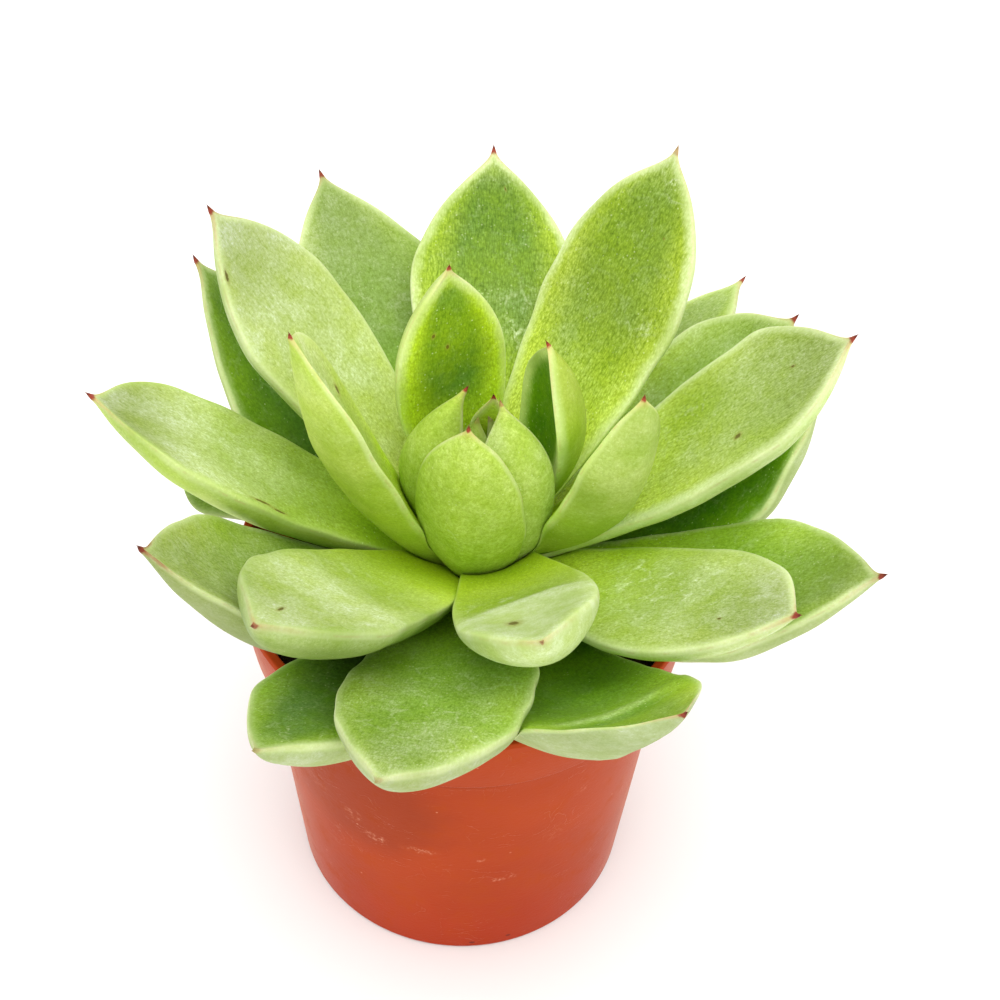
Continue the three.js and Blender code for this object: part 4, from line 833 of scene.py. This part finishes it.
def pot_plastic():
    m = Nodes("pot_plastic")
    co = m.vec("SCALE", m.coord(), scale=1000.0)  # mm
    x, y, z = m.split(co)
    big = m.noise(co, 0.05, 3.0, 0.55)
    mid = m.noise(co, 0.22, 5.0, 0.62)
    fine = m.noise(co, 1.8, 4.0, 0.65)
    flow = m.noise(m.join(x, y, m.math("MULTIPLY", z, 3.0)), 1.1, 3.0, 0.6)  # faint level streaks of the mould
    col = m.mix(m.step(big, 0.3, 0.7), srgb(174, 60, 16), srgb(162, 52, 12))
    # painted light and shade: browner towards the top, where the leaves shade the pot, and deeper red towards the foot
    col = m.mix(m.math("MULTIPLY", m.step(m.math("ADD", m.math("MULTIPLY", z, 0.02), m.math("MULTIPLY", mid, 0.9)), 0.35, 1.2), 0.40), col, srgb(174, 71, 30))
    col = m.mix(m.math("MULTIPLY", m.step(m.math("ADD", z, m.math("MULTIPLY", mid, 6.0)), 20.0, 3.0), 0.50), col, srgb(172, 44, 8))
    # dust and dried water
    dust = m.step(m.math("ADD", m.math("MULTIPLY", mid, 0.75), m.math("MULTIPLY", fine, 0.35)), 0.52, 0.84)
    col = m.mix(m.math("MULTIPLY", dust, 0.14), col, srgb(186, 104, 52))
    # painted shadow of the leaves: a darker patch high on one side; and small scuffs
    painted_leaf_shadow = m.vec("LENGTH", m.vec("MULTIPLY", m.vec("SUBTRACT", co, (-13.0, -20.0, 33.0)), (0.075, 0.075, 0.085)))
    painted_leaf_shadow = m.math("MULTIPLY", m.step(m.math("ADD", painted_leaf_shadow, m.math("MULTIPLY", mid, 0.5)), 1.45, 0.85), 0.36)
    col = m.mix(painted_leaf_shadow, col, srgb(120, 44, 16))
    rough_dots = m.math("MULTIPLY", m.step(m.noise(co, 2.6, 4.0, 0.75), 0.44, 0.62), m.step(m.noise(co, 0.9, 3.0, 0.6), 0.40, 0.58))
    for at, reach, amount in SCUFFS:
        off = m.vec("LENGTH", m.vec("MULTIPLY", m.vec("SUBTRACT", m.vec("ADD", co, m.vec("SCALE", m.noise(co, 0.4, 2.0, colour=True), scale=1.6)), [p + 0.8 for p in at]), [1 / r for r in reach]))
        col = m.mix(m.math("MULTIPLY", m.math("MULTIPLY", m.step(off, 1.0, 0.3), rough_dots), amount), col, srgb(222, 150, 118))
    for at, reach in MARKS:
        off = m.vec("LENGTH", m.vec("MULTIPLY", m.vec("SUBTRACT", co, at), [1 / r for r in reach]))
        off = m.math("ADD", off, m.math("MULTIPLY", m.math("SUBTRACT", fine, 0.5), 0.9))
        col = m.mix(m.math("MULTIPLY", m.step(off, 1.0, 0.6), 0.75), col, srgb(88, 26, 14))
    # pale pinpoints
    pin = m.voronoi(co, 0.42, out="Distance")
    pin_rand = m.split(m.voronoi(co, 0.42, out="Color"))[0]
    col = m.mix(m.math("MULTIPLY", m.math("MULTIPLY", m.step(pin, 0.085, 0.04), m.step(pin_rand, 0.70, 0.80)), 0.5), col, srgb(226, 160, 126))
    # fine scratches
    scratch_co = m.vec("ADD", co, m.vec("SCALE", m.noise(co, 0.12, 2.0, colour=True), scale=9.0))
    s1 = m.voronoi(m.vec("MULTIPLY", scratch_co, (0.35, 0.35, 1.9)), 0.30, "DISTANCE_TO_EDGE")
    s2 = m.voronoi(m.vec("MULTIPLY", scratch_co, (1.3, 1.3, 0.30)), 0.24, "DISTANCE_TO_EDGE")
    keep1, keep2 = m.step(m.noise(co, 0.16, 2.0), 0.52, 0.66), m.step(m.noise(m.vec("ADD", co, (50, 9, 3)), 0.14, 2.0), 0.55, 0.68)
    scratch = m.math("MAXIMUM", m.math("MULTIPLY", m.step(s1, 0.016, 0.004), keep1), m.math("MULTIPLY", m.step(s2, 0.014, 0.004), keep2))
    scratch = m.math("MULTIPLY", scratch, m.step(fine, 0.42, 0.60))
    col = m.mix(m.math("MULTIPLY", scratch, 0.13), col, srgb(206, 132, 96))
    # painted shadow in the corner under the band
    band_shadow = m.math("ABSOLUTE", m.math("SUBTRACT", z, 43.0))
    band_shadow = m.math("MULTIPLY", m.step(band_shadow, 0.95, 0.15), m.step(mid, 0.30, 0.60, 0.35, 1.0))
    col = m.mix(m.math("MULTIPLY", band_shadow, 0.40), col, srgb(112, 40, 16))
    n = m.bump(m.math("ADD", m.math("ADD", m.math("MULTIPLY", fine, 0.6), m.math("MULTIPLY", flow, 0.5)), m.math("MULTIPLY", scratch, -0.8)), 0.00008, 0.45)
    rough = m.step(m.math("ADD", m.math("MULTIPLY", mid, 0.6), m.math("MULTIPLY", dust, 0.4)), 0.25, 0.8, 0.44, 0.66)
    mat = m.set(Base_Color=col, Roughness=rough, Normal=n)
    m.set(Specular_IOR_Level=0.04, Sheen_Weight=0.32, Sheen_Roughness=0.24, Sheen_Tint=(1.0, 0.78, 0.66, 1.0))
    return mat


pot.data.materials.clear()
pot.data.materials.append(pot_plastic())
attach(pot, "root")
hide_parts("pot")

# ---------------------------------------------------------------- soil


def soil_mesh():
    """A plug of potting mix: crumbly top with clods, smooth sides against the wall."""
    rng = np.random.default_rng(77)
    rings, seg = 74, 220
    co, faces = [], []
    R = inside(45.0) - 0.45

    def top(x, y):
        h = 45.6 + 0.5 * (0.6 * np.sin(0.42 * x + 1.3) * np.cos(0.37 * y - 0.4) + 0.4 * np.sin(0.81 * x - 0.66 * y + 2.1))
        h = h + 0.22 * wander(x, y, 5, 3.2) + 0.20 * wander(x, y, 6, 1.7, 11) + 0.12 * wander(x, y, 8, 0.9, 13)
        return h

    ang = np.arange(seg) / seg * 2 * math.pi
    for i in range(rings):
        r = R * (i + 1) / rings
        x, y = r * np.cos(ang), r * np.sin(ang)
        z = top(x, y) - 0.5 * smooth(r, R - 1.0, R)
        co += list(zip(x, y, z))
    for zz in np.linspace(43.5, 3.4, 24):
        r = inside(zz) - 0.45
        co += [(r * math.cos(a), r * math.sin(a), zz) for a in ang]
    total = rings + 24
    co.append((0, 0, float(top(np.array(0.0), np.array(0.0)))))
    co.append((0, 0, 3.4))
    for i in range(total - 1):
        for k in range(seg):
            l = (k + 1) % seg
            faces.append((i * seg + k, (i + 1) * seg + k, (i + 1) * seg + l, i * seg + l))
    c_top, c_low = total * seg, total * seg + 1
    for k in range(seg):
        l = (k + 1) % seg
        faces.append((c_top, k, l))
        faces.append(((total - 1) * seg + k, c_low, (total - 1) * seg + l))
    co = np.array(co)

    # clods and chips half sunk in the top
    ball_co, ball_faces = icosphere(2)
    pieces = [(co, faces)]
    at = len(co)
    placed = 0
    while placed < 420:
        r, a = (R - 1.1) * math.sqrt(rng.uniform(0.03, 1)), rng.uniform(0, 2 * math.pi)
        x, y = r * math.cos(a), r * math.sin(a)
        size = rng.choice([0.35, 0.5, 0.7, 0.95], p=[0.4, 0.3, 0.2, 0.1]) * rng.uniform(0.8, 1.2)
        stretch = np.array([1.0, rng.uniform(0.55, 1.0), rng.uniform(0.45, 0.9)])
        if math.hypot(x - AXIS[0], y - AXIS[1]) < 5.5:
            continue
        d = ball_co * stretch * size
        d = d * (1 + 0.22 * wander(ball_co[:, 0] * 3, ball_co[:, 1] * 3 + ball_co[:, 2] * 2, int(rng.integers(1e6)), 3.0))[:, None]
        turn = Matrix.Rotation(rng.uniform(0, 6.28), 3, "Z") @ Matrix.Rotation(rng.uniform(-0.7, 0.7), 3, "X")
        d = d @ np.array(turn).T
        z = float(top(np.array(x), np.array(y))) + size * 0.12
        pieces.append((d + np.array([x, y, z]), [tuple(np.array(f) + at) for f in ball_faces]))
        at += len(ball_co)
        placed += 1
    return np.vstack([p for p, _ in pieces]), [tuple(int(i) for i in f) for _, fs in pieces for f in fs]


def icosphere(level):
    bm = bmesh.new()
    bmesh.ops.create_icosphere(bm, subdivisions=level, radius=1.0)
    bm.verts.ensure_lookup_table()
    co = np.array([v.co for v in bm.verts])
    faces = [tuple(v.index for v in f.verts) for f in bm.faces]
    bm.free()
    return co, faces


soil_co, soil_faces = soil_mesh()
soil = mesh_object("soil_plug", soil_co, soil_faces)


def soil_mix():
    m = Nodes("potting_soil")
    co = m.vec("SCALE", m.coord(), scale=1000.0)
    big, mid, fine = m.noise(co, 0.35, 4.0, 0.6), m.noise(co, 1.6, 4.0, 0.65), m.noise(co, 5.0, 3.0, 0.7)
    crumb = m.split(m.voronoi(co, 1.1, out="Color"))[0]
    col = m.mix(m.step(mid, 0.3, 0.7), srgb(30, 20, 14), srgb(62, 44, 30))
    col = m.mix(m.math("MULTIPLY", m.step(crumb, 0.70, 0.9), 0.6), col, srgb(92, 66, 44))
    col = m.mix(m.math("MULTIPLY", m.step(crumb, 0.955, 0.975), 0.7), col, srgb(150, 132, 108))
    col = m.mix(m.math("MULTIPLY", m.step(big, 0.35, 0.7), 0.4), col, srgb(22, 15, 11))
    n = m.bump(m.math("ADD", m.math("MULTIPLY", mid, 0.8), m.math("MULTIPLY", fine, 0.4)), 0.0004, 0.8)
    mat = m.set(Base_Color=col, Roughness=m.step(fine, 0.3, 0.7, 0.82, 0.98), Normal=n)
    m.set(Specular_IOR_Level=0.2)
    return mat


soil.data.materials.append(soil_mix())
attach(soil, "root")
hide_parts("soil")

# ---------------------------------------------------------------- stem
STEM = [(0, 37), (1.4, 37.6), (2.3, 40), (2.9, 43), (3.6, 46.5), (4.7, 49.5), (5, 53), (4.9, 57), (4.3, 60.5), (3.5, 63),
        (2.4, 65), (1.2, 66.4), (0, 66.8)]


def stem_mesh():
    pts = np.array(STEM, float)
    run = np.concatenate([[0], np.cumsum(np.linalg.norm(np.diff(pts, axis=0), axis=1))])
    u = np.linspace(0, run[-1], 70)
    prof = [(float(np.interp(k, run, pts[:, 0])), float(np.interp(k, run, pts[:, 1]))) for k in u]
    prof[0], prof[-1] = (0.0, 37.0), (0.0, 66.8)
    co, faces = lathe(prof, 96, tuple(AXIS))
    a = np.arctan2(co[:, 1] - AXIS[1], co[:, 0] - AXIS[0])
    r = np.hypot(co[:, 1] - AXIS[1], co[:, 0] - AXIS[0])
    # rings of old leaf scars, and small lumps
    scar = 0.16 * np.sin(co[:, 2] * 3.3 + 1.5 * np.sin(2 * a + 0.4)) + 0.10 * wander(a * 4, co[:, 2], 91, 2.4)
    k = (1 + scar * smooth(r, 0.8, 2.5) / np.maximum(r, 1.0))
    co[:, 0] = AXIS[0] + (co[:, 0] - AXIS[0]) * k * 0.985
    co[:, 1] = AXIS[1] + (co[:, 1] - AXIS[1]) * k * 0.985
    return co, faces


stem_co, stem_faces = stem_mesh()
stem = mesh_object("stem_caudex", stem_co, stem_faces)


def stem_bark():
    m = Nodes("stem_bark")
    co = m.vec("SCALE", m.coord(), scale=1000.0)
    x, y, z = m.split(co)
    mid, fine = m.noise(co, 0.7, 4.0, 0.6), m.noise(co, 3.2, 4.0, 0.65)
    rings = m.noise(m.join(m.math("MULTIPLY", x, 0.35), m.math("MULTIPLY", y, 0.35), z), 1.7, 3.0, 0.6)
    col = m.mix(m.step(z, 46, 53), srgb(118, 92, 60), srgb(150, 160, 92))
    col = m.mix(m.math("MULTIPLY", m.step(rings, 0.45, 0.62), 0.6), col, srgb(104, 78, 48))
    col = m.mix(m.math("MULTIPLY", m.step(mid, 0.5, 0.75), 0.5), col, srgb(176, 160, 118))
    n = m.bump(m.math("ADD", m.math("MULTIPLY", rings, 1.0), m.math("MULTIPLY", fine, 0.5)), 0.0003, 0.7)
    mat = m.set(Base_Color=col, Roughness=m.step(fine, 0.3, 0.7, 0.62, 0.82), Normal=n)
    m.set(Specular_IOR_Level=0.3)
    return mat


stem.data.materials.append(stem_bark())
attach(stem, "root")
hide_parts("stem")

# ---------------------------------------------------------------- floor, light and camera
bm = bmesh.new()
bmesh.ops.create_grid(bm, x_segments=8, y_segments=8, size=1.5)
floor_mesh = bpy.data.meshes.new("floor")
bm.to_mesh(floor_mesh)
bm.free()
floor = bpy.data.objects.new("floor", floor_mesh)
floor.location = (0, 0, -0.0002)
bpy.context.scene.collection.objects.link(floor)
fm = Nodes("floor_white")
fm.set(Base_Color=(0.93, 0.93, 0.93, 1.0), Roughness=0.9, Specular_IOR_Level=0.1)
floor.data.materials.append(fm.mat)

world = bpy.data.worlds.new("studio")
bpy.context.scene.world = world
world.use_nodes = True
world.node_tree.nodes["Background"].inputs["Color"].default_value = (1.0, 1.0, 1.0, 1.0)
world.node_tree.nodes["Background"].inputs["Strength"].default_value = 0.98


def sun(name, come_from, spread, strength, colour=(1, 1, 1)):
    """A very large, even, distant light: spread is its width in degrees."""
    light = bpy.data.lights.new(name, "SUN")
    light.angle, light.energy, light.color = math.radians(spread), strength, colour
    obj = bpy.data.objects.new(name, light)
    obj.rotation_mode = "QUATERNION"
    obj.rotation_quaternion = (-Vector(come_from)).to_track_quat("-Z", "Y")
    bpy.context.scene.collection.objects.link(obj)
    return obj


sun("key_light", (0.05, -0.22, 0.97), 60, 2.1, (1.0, 0.995, 0.98))

EL, DIST, ROLL = math.radians(49.243), 0.27734, math.radians(2.375)
target = Vector((3.527, 0.0, 64.825)) * MM
back = Vector((0, -math.cos(EL), math.sin(EL)))
right = Vector((1, 0, 0))
up = right.cross(-back)
cam_right = math.cos(ROLL) * right + math.sin(ROLL) * up
cam_up = -math.sin(ROLL) * right + math.cos(ROLL) * up
cam_data = bpy.data.cameras.new("camera")
cam_data.lens, cam_data.sensor_width, cam_data.sensor_fit = 86.4, 36.0, "HORIZONTAL"
cam_data.clip_start, cam_data.clip_end = 0.01, 20.0
cam = bpy.data.objects.new("camera", cam_data)
cam.matrix_world = Matrix.Translation(target + back * DIST) @ Matrix((cam_right, cam_up, back)).transposed().to_4x4()
bpy.context.scene.collection.objects.link(cam)
bpy.context.scene.camera = cam

scene = bpy.context.scene
scene.view_settings.view_transform = "Standard"
scene.view_settings.look = "None"
scene.view_settings.exposure = 0.0
scene.view_settings.gamma = 1.0
